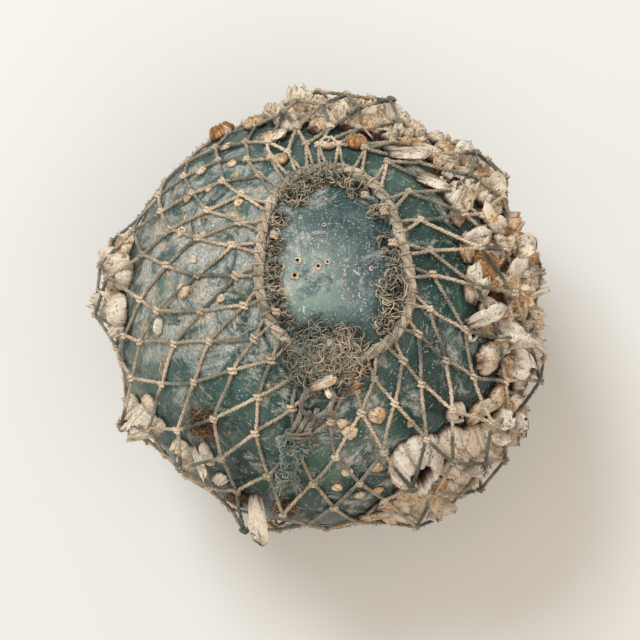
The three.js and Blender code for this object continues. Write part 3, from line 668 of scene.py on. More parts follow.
net = {
    "columns": 26, "rows": 15, "firstRow": 29.5, "rowStep": 9.9, "lastRow": 167.5, "wander": 1.1,
    "turn": -121.9, "slip": -8.5, "legSpread": 0.22, "floor": 1.5,
    "riseShare": 1.1, "liftLimit": 13.0, "clearance": 2.6, "rounds": 14,
    "twine": 1.25, "legTwine": 1.15, "plies": 2, "plyDepth": 0.26, "pitch": 5.6, "knot": 2.5,
    "hairs": 3600, "hairReach": 3.6, "extra": 2.2,
}
ring = {"bearing": 82, "drop": 14.5, "angle": 21.9, "oval": 3.5, "rope": 3.9, "strand": 1.95, "turns": 12,
        "steps": 360, "sides": 10, "hairs": 600}


def netDirection(angle, turn):
    # pole*cos a + across*sin a*cos t + along*sin a*sin t; the pole moves from the ring's to the top.
    angle, turn = np.broadcast_arrays(np.asarray(angle, float), np.asarray(turn, float))
    pole = outward(ring["bearing"], ring["drop"] * (1 - smooth((angle - 30) / 105)))
    across, along = tangents(pole)
    a, t = np.radians(angle)[..., None], np.radians(turn)[..., None]
    return pole * np.cos(a) + across * np.sin(a) * np.cos(t) + along * np.sin(a) * np.sin(t)


def ringAngle(turn):
    # An oval, a little egg-shaped: mean - oval*cos 2t and two small terms more.
    t = np.radians(turn)
    return ring["angle"] - ring["oval"] * np.cos(2 * t) - 0.8 * np.sin(2 * t) - 0.9 * np.sin(3 * t)


def knotTurn(column, row):
    # Even columns, pulled aside in the first rows.
    t = column * 2 * np.pi / net["columns"]
    pull = -net["slip"] - 8.4 * np.cos(t) - 7.6 * np.sin(t) + 8.7 * np.cos(2 * t)
    return net["turn"] + net["slip"] - column * 360 / net["columns"] + pull * np.exp(1 - row)


def knotAngle(turn, row):
    # Even rows, which follow the ring's oval at first.
    slack = 1.2 * (ringAngle(turn) - ring["angle"]) + 2.5 * np.sin(np.radians(turn))
    plain = np.minimum(net["firstRow"] + (row - 1) * net["rowStep"], net["lastRow"])
    return plain + slack * np.exp((1 - row) / 1.5)


growths = [g for specs in colonies.values() for g in specs] + list(weedTufts.values())


def growthHeight(direction):
    # Each growth counts as a cut-off cone; the highest one wins.
    top = np.zeros(direction.shape[:-1])
    for g in growths:
        footing = g["radius"] * (1 + g["flute"]) * g.get("stretch", 1) + net["clearance"]
        cosine = direction @ outward(g["bearing"], g["drop"])
        away = np.arccos(np.clip(cosine, -1, 1)) * ball["radius"]
        slope = np.clip((footing - away) / (footing * (1 - g["mouth"])), 0, 1)
        top = np.maximum(top, min(g["height"] * net["riseShare"], net["liftLimit"]) * slope)
    return top


def tieNet():
    # Every knot's direction and lift; bars run from each knot to the two below it.
    row = np.arange(1, net["rows"] + 1)[:, None]
    k = np.arange(net["columns"])[None]
    column = k + np.where(row % 2, 0, 0.5)
    sway = np.where(row < net["rows"], net["wander"], 0)
    base = knotTurn(column, row)
    angle = knotAngle(base, row) + sway * (2 * scatter(row, column) - 1)
    turn = base + sway * (2 * scatter(column, row) - 1) / np.sin(np.radians(angle))
    direction = netDirection(angle, turn).reshape(-1, 3)
    odd, upper = (row % 2)[:-1], row[:-1]
    right = (k + np.where(odd, net["columns"] - 1, 0)) % net["columns"]
    left = (k + np.where(odd, 0, 1)) % net["columns"]
    begin = (upper - 1) * net["columns"] + k
    end = upper * net["columns"]
    bars = np.stack([np.stack([begin, end + right], -1), np.stack([begin, end + left], -1)], -2)
    bars = bars.reshape(-1, 2)
    lift = np.zeros(len(direction))
    for _ in range(net["rounds"]):
        rise = np.zeros(len(lift))
        start = direction[bars[:, 0]] * (ball["radius"] + lift[bars[:, 0]])[:, None]
        finish = direction[bars[:, 1]] * (ball["radius"] + lift[bars[:, 1]])[:, None]
        for share in np.linspace(0, 1, 6):
            point = start + (finish - start) * share
            length = np.linalg.norm(point, axis=-1)
            short = growthHeight(unit(point)) + ball["radius"] - length - net["floor"]
            raised = np.where(short > 0.01, short, 0) / ((1 - share) ** 2 + share**2)
            np.maximum.at(rise, bars[:, 0], raised * (1 - share))
            np.maximum.at(rise, bars[:, 1], raised * share)
        lift = lift + rise
    return direction, lift, bars


def twinePaths(start, finish, steps, sag):
    # Straight between two knots, slackened sideways by a half sine, and never through the glass.
    share = np.linspace(0, 1, steps)[None, :, None]
    paths = start[:, None] * (1 - share) + finish[:, None] * share
    side = unit(np.cross(start, finish - start))[:, None]
    bow = dice.normal(0, sag, (len(start), 1, 1)) * np.sin(np.pi * share)
    bow = bow + dice.normal(0, sag * 0.4, (len(start), 1, 1)) * np.sin(2 * np.pi * share)
    paths = paths + side * bow
    return keepOff(paths, net["twine"] + 0.1)


def grime(direction):
    # Twine over the growth is darker and greener: 1 where the growth stands high.
    return smooth(growthHeight(direction) / 7)


def makeNet():
    # Bars in three pieces by row, legs up to the ring, then a tie on every knot.
    direction, lift, bars = tieNet()
    lift = lift + net["extra"] * smooth(growthHeight(direction) / 7)
    knots = direction * (ball["radius"] + net["twine"] + 0.5 + lift)[:, None]
    rowOf = bars[:, 0] // net["columns"] + 1
    tints = dice.uniform(0, 1, len(bars))
    pieces = {"netUpper": (rowOf <= 5, 16, 6), "netMiddle": ((rowOf > 5) & (rowOf <= 9), 12, 6),
              "netLower": (rowOf > 9, 10, 5)}
    allPaths = []
    twist = np.pi * 2 / net["plies"] / net["pitch"]
    parts = {}
    for name, (chosen, steps, sides) in pieces.items():
        paths = twinePaths(knots[bars[chosen, 0]], knots[bars[chosen, 1]], steps, 0.5)
        allPaths.append((paths[:, 1:-1], tints[chosen]))
        parts[name] = [sweep(paths, net["twine"], sides, net["plies"], net["plyDepth"], twist,
                             tint=tints[chosen], shade=grime(unit(paths)))]
    # Each knot of the first row hangs from two legs hitched round the ring.
    column = np.repeat(np.arange(net["columns"]), 2) + np.tile([1, -1], net["columns"]) * net["legSpread"]
    turn = knotTurn(column, 1)
    legEnd = netDirection(ringAngle(turn) + 0.6, turn)
    legStart = np.repeat(knots[:net["columns"]], 2, axis=0)
    paths = twinePaths(legStart, legEnd * (ball["radius"] + 5.0), 14, 0.3)
    allPaths.append((paths[:, 1:-1], dice.uniform(0, 1, len(paths))))
    parts["netUpper"].append(sweep(paths, net["legTwine"], 6, net["plies"], net["plyDepth"], twist,
                                   tint=dice.uniform(0.3, 1, len(paths)), shade=grime(unit(paths))))
    parts["netUpper"].append(hitches(turn))
    # A few thicker knots where a leg ends on the ring.
    ends = outward(*np.array([(72, 32.3), (48, 24.5), (61, 30), (122, 23.5), (173, 11.7), (62, 31.4)]).T)
    parts["netUpper"].append(knotTies(ends * (ball["radius"] + 8.5), 12))
    count = net["columns"]
    split = {"netUpper": slice(0, 5 * count), "netMiddle": slice(5 * count, 9 * count),
             "netLower": slice(9 * count, None)}
    for name, rows in split.items():
        parts[name].append(knotTies(knots[rows], 10 if name == "netUpper" else 8))
    for name in parts:
        makePiece(name, parts[name], netTwine, ("net",) if name == "netUpper" else ())
    return allPaths


def knotTies(knots, steps):
    # A netting knot: a short coil of twine, one turn and a half, lying on the surface.
    many = len(knots)
    out = unit(knots)
    across, along = tangents(out)
    t = np.linspace(0, 3 * np.pi, steps)[None, :, None]
    heading = dice.uniform(-0.4, 0.4, (many, 1, 1))
    a = across[:, None] * np.cos(heading) + along[:, None] * np.sin(heading)
    b = np.cross(out[:, None], a)
    size = net["knot"] * dice.uniform(0.85, 1.1, (many, 1, 1))
    paths = knots[:, None] + a * size * np.cos(t) * 0.95 + b * size * (t / (3 * np.pi) - 0.5) * 1.5
    paths = paths + out[:, None] * (0.5 + size * 0.55 * np.sin(t))
    return sweep(paths, net["twine"] * 0.95, 6, tint=dice.uniform(0.8, 1.3, many),
                 shade=grime(unit(paths)) * 0.8, up=unit(b + 0.01 * a) + 0 * paths)


def hitches(turn):
    # Each leg passes once over the ring's rope and tucks in under it.
    many = len(turn)
    phase = np.linspace(-0.35 * np.pi, 1.3 * np.pi, 12)
    slide = phase / (2 * np.pi) * 0.8 * np.where(np.arange(many) % 2, 1, -1)[:, None]
    here = turn[:, None] + slide
    middle = netDirection(ringAngle(here), here)
    level = ball["radius"] + ring["rope"] + ball["gap"] + 0.1
    ahead = netDirection(ringAngle(here + 1), here + 1)
    forward = unit(ahead - middle)
    side = unit(np.cross(forward, middle))
    reach = ring["rope"] + net["legTwine"] * 0.2
    paths = middle * level + reach * (np.cos(phase)[:, None] * side + np.sin(phase)[:, None] * middle)
    return sweep(keepOff(paths, 1.0), net["legTwine"] * 0.68, 6, up=forward, tint=dice.uniform(0.3, 1, many))


def makeHairs(paths):
    # Loose fibres that stand off the twine: short bent hairs, two joints each.
    points = np.concatenate([p.reshape(-1, 3) for p, _ in paths])
    chosen = points[dice.integers(0, len(points), net["hairs"])]
    out = unit(chosen)
    aim = unit(dice.normal(size=chosen.shape) + out * 0.7)
    kink = unit(aim + dice.normal(0, 0.6, chosen.shape))
    reach = net["hairReach"] * dice.uniform(0.4, 1.2, (len(chosen), 1))
    start = chosen + aim * net["twine"] * 0.6
    line = np.stack([start, start + aim * reach * 0.5, start + (aim + kink) * reach * 0.5], 1)
    hairs = sweep(keepOff(line, 0.3), [[0.26, 0.22, 0.1]], 3, up=unit(np.cross(aim, kink))[:, None],
                  tint=dice.uniform(0, 1, len(line)))
    makePiece("twineHairs", [hairs], netTwine)


makeHairs(makeNet())


# Rope ring.

def makeRing():
    # Three strands laid round the oval, with short hairs that stand off them.
    steps = ring["steps"]
    turn = np.arange(steps) * 360 / steps
    level = ball["radius"] + ring["rope"] + ball["gap"] + 0.1
    middle = netDirection(ringAngle(turn), turn) * level
    strands = layUp(middle, 3, ring["rope"] - ring["strand"], ring["turns"], closed=True)
    body = sweep(strands, ring["strand"], ring["sides"], 7, 0.04, 0.05, closed=True,
                 tint=np.array([0.35, 0.5, 0.75]))
    picks = middle[dice.integers(0, steps, ring["hairs"])]
    aim = unit(dice.normal(size=picks.shape) + unit(picks) * 0.5)
    start = picks + aim * ring["rope"] * 0.8
    lines = np.stack([start, start + aim * 1.0, start + aim * 1.6 + dice.normal(0, 0.6, picks.shape)], 1)
    hairs = sweep(lines, [[0.22, 0.2, 0.1]], 3, tint=dice.uniform(0, 1, len(lines)),
                  up=unit(np.cross(aim, [0.3, 0.5, 0.81]))[:, None])
    makePiece("ropeRing", [body, hairs], ringRope, ("rope_ring",))


makeRing()


# The drawcord under the ball.

drawcord = {"outer": 24.6, "inner": 2.6, "thick": 4.4, "pitch": 12.0, "steps": 300, "rimSteps": 160,
            "spokeOuter": 32.0, "spokeInner": 23.0, "outerLevel": 5.6, "innerLevel": 3.6}


def makeDrawcord():
    # A flat spiral of laid cord: the radius shrinks by one thickness each turn.
    loops = (drawcord["outer"] - drawcord["inner"]) / drawcord["thick"]
    steps = drawcord["steps"]
    t = np.linspace(0, 2 * np.pi * loops, steps)
    reach = drawcord["outer"] - drawcord["thick"] * t / (2 * np.pi)
    level = -ball["height"] + drawcord["thick"] / 2
    path = aroundAxis(reach, t, np.full(steps, level))
    length = np.linalg.norm(np.diff(path, axis=0), axis=1).sum()
    strand = drawcord["thick"] * 0.27
    down = np.broadcast_to([0, 0, -1.0], path.shape)
    strands = layUp(path, 3, drawcord["thick"] / 2 - strand, length / drawcord["pitch"], up=down)
    coil = sweep(strands, strand, 6, up=down[None], tint=np.array([0.3, 0.5, 0.7]))
    # The closing turn runs through the last row of knots.
    turn = circle(drawcord["rimSteps"])
    rim = outward(np.degrees(turn), np.full(len(turn), net["lastRow"] - 0.3)) * (ball["radius"] + 3.0)
    closing = layUp(rim, 3, 1.0, 16, closed=True)
    loop = sweep(closing, 1.15, 7, closed=True, tint=np.array([0.4, 0.5, 0.6]))
    spokes = []
    for k in range(net["columns"]):
        a = 2 * np.pi * (k + 0.3 * scatter(k, 3)) / net["columns"]
        far = aroundAxis(drawcord["spokeOuter"], a, -ball["height"] + drawcord["outerLevel"])
        near = aroundAxis(drawcord["spokeInner"], a + 0.1, -ball["height"] + drawcord["innerLevel"])
        spokes.append(curve([far, (far + near) / 2 + [0, 0, -0.6], near], 9))
    ties = sweep(np.array(spokes), 1.3, 7, 2, 0.18, 1.2, tint=dice.uniform(0.2, 0.8, len(spokes)))
    makePiece("drawcordCoil", [coil, loop, ties], ringRope, ("drawcord",))


makeDrawcord()


# Lashing beside the ring.

lashing = {"level": 7.0, "strand": 0.95, "offset": 0.9, "pitch": 12.0}


def cordAlong(places, level, strand, offset, pitch, steps, tint):
    # A three-strand cord through places given as bearing, drop and height above the level.
    stops = np.array([outward(b, d) * (ball["radius"] + h + level) for b, d, h in places])
    path = curve(stops, steps)
    length = np.linalg.norm(np.diff(path, axis=0), axis=1).sum()
    return sweep(layUp(path, 3, offset, length / pitch), strand, 7, tint=np.array(tint))


def makeLashing():
    # A loop, three tails, five wraps round them, and a frayed end of loose fibres.
    size = (lashing["level"], lashing["strand"], lashing["offset"], lashing["pitch"])
    loop = cordAlong([(-106, 21, 0), (-104, 23.5, 0), (-98, 24.6, 0.5), (-91, 23.6, 0), (-86, 21, 0),
                      (-84, 18.6, 0.5), (-91, 16.6, 0), (-103, 17.8, 1), (-106, 21, 0)], *size, 120,
                     [0.1, 0.3, 0.5])
    tails = []
    for places in (
            ((-95, 23.4, -3.4), (-97.5, 26.5, -0.6), (-101, 30.5, 0), (-101.5, 34.5, 0), (-104, 39, -1)),
            ((-99.5, 24.2, -3.0), (-101.5, 27, 0.8), (-103.5, 30.7, 1.2), (-103, 36, 0), (-102, 42, -1)),
            ((-104.5, 23.6, -3), (-105, 27, 0), (-106.3, 30.6, 0), (-104.5, 35, 0), (-105.5, 40, -1.5))):
        tails.append(cordAlong(places, 5.2, lashing["strand"], lashing["offset"], 10.0, 60,
                               [0.4, 0.6, 0.9]))
    wraps = []
    for drop, wide, tip in ((30.0, 8.2, 0.6), (31.0, 7.6, -0.4), (33.6, 6.0, 0.8), (34.6, 5.4, -0.8),
                            (41.5, 3.6, 0.5)):
        middle = outward(-103.3, drop) * (ball["radius"] + 5.6)
        across, along = tangents(unit(middle))
        t = np.linspace(0, 2 * np.pi, 17)[:, None]
        wraps.append(middle + across * wide * np.cos(t) + unit(middle) * 3.6 * np.sin(t)
                     + along * (t * 0.3 + tip * np.cos(t)))
    wraps = sweep(np.array(wraps), 1.2, 8, 2, 0.2, 0.9, up=tangents(unit(wraps[0]))[1][None],
                  tint=dice.uniform(0.5, 1, len(wraps)))
    makePiece("lashingRope", [loop, *tails, wraps], darkRope, ("lashing",))
    frayed = [fray((-103.4, 35, 7.5), (-103.8, 44.5, 5), 280, 2.2, 2.0, (8, 26)),
              fray((-103.4, 43, 5.5), (-105.2, 54, 3.5), 140, 1.3, 1.1, (12, 27)),
              fray((-102.6, 43, 5.5), (-98.6, 51.5, 3.5), 130, 1.2, 1.1, (10, 23))]
    for b, d, size in ((-107, 33.4, 7), (-100.5, 34.0, 7), (-104, 36.6, 7.5), (-103.6, 40.0, 6.5),
                       (-105, 43.5, 6)):
        frayed.append(wiryBall(outward(b, d) * (ball["radius"] + 8), size, 100, 0.75, 1.6))
    makePiece("lashingFray", frayed, tealFibre)


def fray(start, end, many, thick, spread, reach):
    # Loose fibres from one place towards another: start + aim*share, spreading with share^1.5.
    root, tip = (outward(b, d) * (ball["radius"] + h) for b, d, h in (start, end))
    away = dice.normal(0, 1, (many, 1, 3)) * [1, 1, 0.6]
    share = np.linspace(0, 1, 7)[None, :, None]
    lines = root + dice.normal(0, thick, (many, 1, 3))
    lines = lines + unit(tip - root) * share * dice.uniform(*reach, (many, 1, 1))
    lines = lines + away * share**1.5 * spread
    lines = lines + np.sin(share * 9 + dice.uniform(0, 6, (many, 1, 1))) * 0.8 * away
    return sweep(keepOff(lines, 0.6), 0.3, 3, tint=dice.uniform(0, 1, many))


# Wiry tufts inside the ring, and the mat.

ringTufts = [
    (119, 7), (106, 5.4), (95, 5), (73, 6.4), (49, 5.6), (21, 5.6), (5, 5), (-25, 9),
    (-51, 6), (139, 5.4), (160, 5.4), (-176, 5), (-161, 5), (-145, 5.6), (-130, 4.6)]
# Smaller tufts that fill the gaps: the tuft they belong to, their turn and their radius.
tuftFill = [(0, 112, 4.5), (1, 100, 4.5), (2, 90, 4.2), (3, 80, 4.5), (5, 14, 4.2), (6, -3, 4.5),
            (7, -13, 6.0), (7, -38, 6.5), (10, 168, 4.0), (12, -168, 4.5), (13, -152, 4.5), (13, -137, 4.5)]
tuft = {"fibres": 125, "usual": 5.4, "wire": 0.36, "swell": 1.3}
mat = {"bearing": -91, "drop": 9.5, "wide": 26, "high": 21, "curls": 1400, "wire": 0.3}


def wiryBall(centre, radius, fibres, squash=0.75, darkness=2.3):
    # Curls of random planes about points inside a ball, the ball pressed a little flat.
    out = unit(centre)
    inside = unit(dice.normal(size=(fibres, 3))) * dice.uniform(0.2, 0.8, (fibres, 1)) * radius
    inside = inside - out * (inside @ out)[:, None] * (1 - squash)
    curl = arcs(centre + inside, dice.uniform(0.22, 0.5, fibres) * radius, dice.uniform(1.8, 5.2, fibres),
                7, tuft["wire"], drift=dice.uniform(-0.2, 0.2, (fibres, 1, 1)))
    curl["points"] = keepOff(curl["points"], 0.3)
    # Painted shade: deep fibres are darker than those on top.
    depth = 1 - np.linalg.norm(curl["points"] - centre, axis=-1) / (radius * 0.95)
    curl["shade"] = np.clip(depth * darkness - 0.1, 0, 1)
    return curl


def makeTufts():
    # Wiry balls set in from the ring by the rope and their own radius, as an angle on the ball.
    for i, (turn, radius) in enumerate(ringTufts):
        parts = []
        for t, r in [(turn, radius)] + [(t, r) for owner, t, r in tuftFill if owner == i]:
            inset = (ring["rope"] + r + 0.8) / (ball["radius"] * np.pi / 180)
            place = netDirection(ringAngle(t) - inset, t) * (ball["radius"] + r * 0.62)
            parts.append(wiryBall(place, r * tuft["swell"], int(tuft["fibres"] * (r / tuft["usual"]) ** 1.5)))
        makePiece(f"hydroidTuft{i + 1}", parts, hydroid, (f"hydroid_tuft_{i + 1}",))


def makeMat():
    # Curls strewn over an oval patch across the near side of the ring, ragged on the lower right.
    many = mat["curls"]
    centre = outward(mat["bearing"], mat["drop"])
    across, along = tangents(centre)
    reach, angle = np.sqrt(dice.uniform(0, 1, many)), dice.uniform(0, 2 * np.pi, many)
    stray = 1 + 0.45 * dice.uniform(0, 1, many) ** 3 * np.clip(np.cos(angle + 0.9), 0, 1)
    x = mat["wide"] * reach * stray * np.cos(angle)
    y = mat["high"] * reach * stray * np.sin(angle)
    direction = unit(centre * ball["radius"] + x[:, None] * across + y[:, None] * along)
    level = ball["radius"] + 2 + 6 * np.clip(1 - (reach * stray)**2, 0, 1) + dice.uniform(0, 4, many)
    # Green on the left, tan on the right.
    tints = np.clip(0.42 + x / 90 + dice.normal(0, 0.2, many), 0, 1)
    curls = arcs(direction * level[:, None], dice.uniform(1.6, 6.5, many), dice.uniform(1.0, 3.6, many), 7,
                 mat["wire"], normal=direction * 1.6, tint=tints)
    length = np.linalg.norm(curls["points"], axis=-1)
    # Painted shade: curls low in the mat are darker, near black by the glass.
    curls["shade"] = np.clip(1.9 - (length - ball["radius"]) / 5, 0, 1)
    curls["points"] = keepOff(curls["points"], 0.3)
    makePiece("hydroidMat", [curls], hydroid, ("hydroid_mat",))


makeLashing()
makeTufts()
makeMat()


# Barnacles, domes, plates and crust.

shellWork = {"sides": 64, "smallSides": 28, "smallest": 6.5, "ribs": 16, "ribDepth": 0.055, "seams": 6,
             "seamDepth": 0.13, "rings": 1.9, "shadeAndDirtReach": 6.5}
strewn = {"spacing": 1.1, "barnacles": 6}


def barnaclePart(g, seed):
    # Rings from the foot up the wall, over the rim and down inside to the pit.
    # Wall radius: foot to mouth, bulged, less a groove at each seam, with ribs and growth lines.
    big = g["radius"] > shellWork["smallest"]
    sides = shellWork["sides"] if big else shellWork["smallSides"]
    centre = outward(g["bearing"], g["drop"])
    lean = g.get("lean", (0, 0))
    t = circle(sides)
    rise = np.array([0, 0.07, 0.16, 0.26, 0.36, 0.46, 0.56, 0.66, 0.76, 0.85, 0.93, 1.0])
    rise = rise if big else np.array([0, 0.12, 0.32, 0.52, 0.72, 0.88, 1.0])
    up = rise[:, None]
    walls = len(rise)
    foot, height, mouth = g["radius"], g["height"], g["mouth"] * g["radius"]
    offset = scatter(seed, 1) * 6
    plateShare = (t / (2 * np.pi) * shellWork["seams"] + offset + 0.12 * np.sin(t + seed)) % 1
    seam = np.exp(-((np.minimum(plateShare, 1 - plateShare) / 0.085) ** 2))
    ownHeight = scatter(np.floor(t / (2 * np.pi) * shellWork["seams"] + offset) % shellWork["seams"], seed)
    place = aroundAxis(foot, t, 0 * t)
    jag = 0.16 * (1 - 2 * np.abs(plateShare - 0.5)) - 0.12 + 0.16 * lumps(place, 4.0, seed)
    jag = g.get("teeth", 1) * (jag + 0.16 * (ownHeight - 0.5))
    bulge = 0.12 + 0.12 * scatter(seed, 5)
    wall = foot * (1 - up) + mouth * up + bulge * foot * np.sin(np.pi * up**0.8)
    wave = np.sin(t * shellWork["ribs"] + 2.2 * np.sin(3 * t + seed) + 0.5 * np.sin(up * 5 + seed))
    ribs = shellWork["ribDepth"] * (1 - 2 * np.abs(wave) ** 0.7)
    fade = 1 - 0.35 * up
    wall = wall * (1 + ribs * fade - shellWork["seamDepth"] * seam * (0.4 + 0.6 * up))
    wall = wall + 0.022 * foot * np.sin(up * height * shellWork["rings"] + 2 * seed + wave)
    # The wall is taller on the side away from where the mouth tips.
    aim = facingDown(centre) + np.arctan2(lean[1], lean[0] + 1e-6)
    level = height * up * (1 + jag * up**2 - g.get("tip", 0.3 * lean[0]) * np.cos(t - aim) * up)
    rows = [aroundAxis(wall, t, level)]
    rim, top = wall[-1], level[-1]
    for shrink, sink in ((0.9, 0.97), (0.8, 0.8), (0.68, 0.52), (0.4, 0.42)):
        rows.append(aroundAxis(rim * shrink, t, top * sink)[None])
    grid = np.concatenate(rows)
    rough = lumps(grid[:walls], 4.5, seed) + 0.6 * lumps(grid[:walls], 2.1, seed + 1)
    grid[:walls, :, :2] *= 1 + 0.06 * rough[..., None]
    # Painted shade: darker in the rib and seam grooves, at the foot, and inside the mouth down to the pit.
    groove = np.clip(0.34 * (np.abs(wave) ** 2) + 0.4 * seam, 0, 0.55)
    dark = np.concatenate([groove * (0.75 + 0.25 * up), np.ones((4, sides))])
    dark[walls], dark[walls + 1] = 0.05, 0.4
    dark[0], dark[1] = 0.75, 0.45
    return dish(grid, centre, 0, dark, g["tint"], lean=lean)


def domePart(g, seed):
    # A rounded lump: radius*cos, height*sin of one quarter turn, with shallow ribs and ripples.
    # A plate is stretched, ridged along its length, flat on top and broken at its edge.
    flat = g["kind"] == "plate"
    sides = 38 if flat else 42
    t = circle(sides)
    q = np.linspace(0, 0.97, 11 if flat else 13)[:, None] * np.pi / 2
    broken = 0.16 * lumps(aroundAxis(9, t, 0 * t), 3.4, seed)
    chip = broken if flat else 0.04 * np.sin(14 * t + seed)
    wide = g["radius"] * np.cos(q) ** (0.55 if flat else 0.8) * (1 + chip + 0.02 * np.sin(23 * t))
    level = g["height"] * np.sin(q) * (1 + 0 * t) + (0 if flat else 0.3) * np.sin(q * 20 + seed)
    stretch = g.get("stretch", 1)
    grid = np.stack([wide * np.cos(t) * stretch, wide * np.sin(t), level], -1)
    bump = lumps(grid, 5.0, seed) + 0.5 * lumps(grid, 2.4, seed)
    grid = grid * (1 + 0.07 * bump * np.sin(q))[..., None]
    ridge = np.sin(grid[..., 1] * 2.4 + 0.7 * bump + seed) if flat else np.sin(13 * t + 1.5 * bump + 0 * q)
    grid[..., 2] += (0.5 if flat else 0.3) * ridge * np.sin(q)
    # Painted shade: darker towards the foot and in the troughs between ribs.
    dark = 0.6 * (1 - np.sin(q)) ** 2 + 0.3 * np.clip(-ridge, 0, 1) ** 2 * np.sin(q)
    return dish(grid, outward(g["bearing"], g["drop"]), 0, dark, g["tint"], g.get("turn", 0))


def crustPart(g, seed):
    # A low broken patch: an uneven disc with a lumpy top that thins towards its edge.
    sides = 46
    t = circle(sides)
    reach = np.linspace(1, 0.04, 13)[:, None]
    edge = aroundAxis(9, t, 0 * t)
    wide = g["radius"] * reach * (1 + 0.16 * lumps(edge, 4.0, seed))
    flat = aroundAxis(wide, t, 0 * wide + seed)
    top = g["height"] * (1.2 - reach**5) + 1.4 * lumps(flat, 4.5, seed) + 1.0 * lumps(flat, 2.0, seed)
    grid = np.stack([flat[..., 0], flat[..., 1], np.maximum(top, 0.1) * (1 - 0.9 * reach**8)], -1)
    dark = np.clip(0.55 - 0.5 * lumps(flat, 3.0, seed + 5), 0, 0.9)
    return dish(grid, outward(g["bearing"], g["drop"]), 0, dark, g["tint"])


def shards(roots, facing, lengths, widths, tilts, curls, tints, steps=9, sides=20):
    # Shell plates: a lens-shaped section that widens and then closes along a bent middle line.
    # Point = root + grow*length*v + side*width*w(v)*cos t + back*(thickness*sin t + curl*cos^2 t).
    many = len(roots)
    out = unit(roots)
    across, along = tangents(out)
    c, s = np.cos(facing)[:, None], np.sin(facing)[:, None]
    side = across * c + along * s
    ahead = np.cross(out, side)
    grow = out * np.cos(tilts)[:, None] + ahead * np.sin(tilts)[:, None]
    back = np.cross(side, grow)
    v = np.linspace(0, 1, steps)[None, :, None]
    t = circle(sides)
    w = (0.5 + 0.75 * v - 0.3 * v**2) * (1 - v**8) ** 0.5 + 0.03
    x = widths[:, None, None] * w * np.cos(t)
    ridge = np.sin(x * 3.1 + facing[:, None, None])
    thick = 0.65 + 0.4 * (1 - v)
    y = thick * np.sin(t) + curls[:, None, None] * np.cos(t) ** 2 * widths[:, None, None] * w
    y = y + 0.28 * ridge * np.sign(np.sin(t) + 1e-6) * np.abs(np.sin(t)) ** 0.5
    tooth = 0.10 * np.sin(np.cos(t) * 7 + facing[:, None, None] * 3) + 0.06 * np.sin(np.cos(t) * 17)
    z = lengths[:, None, None] * v * (1 + tooth * v)
    points = (roots[:, None, None] + x[..., None] * side[:, None, None] + y[..., None] * back[:, None, None]
              + z[..., None] * grow[:, None, None])
    index = np.arange(many * steps * sides).reshape(many, steps, sides)
    a, b = index[:, :-1], index[:, 1:]
    quads = np.stack([a, np.roll(a, -1, 2), np.roll(b, -1, 2), b], -1).reshape(-1, 4)
    # Painted shade: darker towards the root and in the troughs between ridges.
    dark = 0.6 * (1 - v) ** 2 + 0.3 * np.clip(-ridge, 0, 1) ** 2
    tint = np.asarray(tints)[:, None, None] + 0 * points[..., 0]
    caps = [index[:, 0, ::-1], index[:, -1]]
    u = np.stack([x, 0 * x + z], -1).reshape(-1, 2)
    strands = [u[g] for g in (quads, *caps)]
    return part(points, [quads, *caps], strands, shade=dark, tint=tint)


def spikePart(g, seed):
    # A tall sharp shell: a half-rolled plate that hangs down the ball, its far end standing off.
    half = cup(g["bearing"] + 1, g["drop"] - 8.5, 2, -99, g["height"] + 9, g["radius"] * 0.95, 60, 0.5,
               g["tint"])
    return cupPart(half, seed)


def cupPart(g, seed):
    # One broken shell, set back by half its length when it lies, so that its middle is the place.
    # The seed isn't used: every maker is called with one.
    centre = outward(g["bearing"], g["drop"])
    across, along = tangents(centre)
    facing = np.radians(g["turn"] - 90)
    ahead = along * np.cos(facing) - across * np.sin(facing)
    lying = np.sin(np.radians(g["tilt"]))
    root = centre * (ball["radius"] + g["level"] * 0.75) - ahead * lying * g["length"] / 2
    return shards(root[None], np.array([facing]), np.array([g["length"]]), np.array([g["width"]]),
                  np.array([np.radians(g["tilt"])]), np.array([g["curl"]]), np.array([g["tint"]]))


def plateParts(g, seed):
    # A domed base under a sharp-edged plate a little larger than it.
    top = cup(g["bearing"], g["drop"], g["height"] * 0.9, g.get("turn", 0), 2.3 * g["radius"] * g["stretch"],
              g["radius"] * 1.05, 84 + 12 * scatter(seed, 2), -0.3 - 0.2 * scatter(seed, 4), g["tint"] * 0.7)
    return [domePart({**g, "tint": 0.7}, seed), cupPart(top, seed)]


def litter(specs, seed):
    # Broken plates and small barnacles strewn over each patch of crust.
    made = []
    for i, g in enumerate(s for s in specs if s["kind"] == "crust"):
        centre = outward(g["bearing"], g["drop"])
        across, along = tangents(centre)
        many = int(g["radius"] * strewn["spacing"])
        reach = np.sqrt(dice.uniform(0.02, 1, many)) * g["radius"] * 1.02
        roots = aroundPlace(centre, reach, dice.uniform(0, 2 * np.pi, many), 1.0)
        made.append(shards(roots, dice.uniform(0, 6.3, many), dice.uniform(6, 13, many),
                           dice.uniform(2.8, 6.2, many), dice.uniform(-1.2, 1.2, many),
                           dice.uniform(-0.5, 0.5, many), dice.uniform(0.0, 0.8, many), 7, 12))
        for j in range(strewn["barnacles"]):
            x, y = dice.normal(0, 0.55, 2) * g["radius"]
            where = unit(centre * ball["radius"] + across * x + along * y)
            bearing, drop = np.degrees(np.arctan2(where[1], where[0])), np.degrees(np.arccos(where[2]))
            size = dice.uniform(3, 7)
            small = barnacle(bearing, drop, size, size * dice.uniform(1.2, 1.7), dice.uniform(0.45, 0.7),
                             tuple(dice.normal(0.2, 0.3, 2)), dice.uniform(0, 0.7))
            made.append(barnaclePart(small, seed + 10 * i + j))
    return made


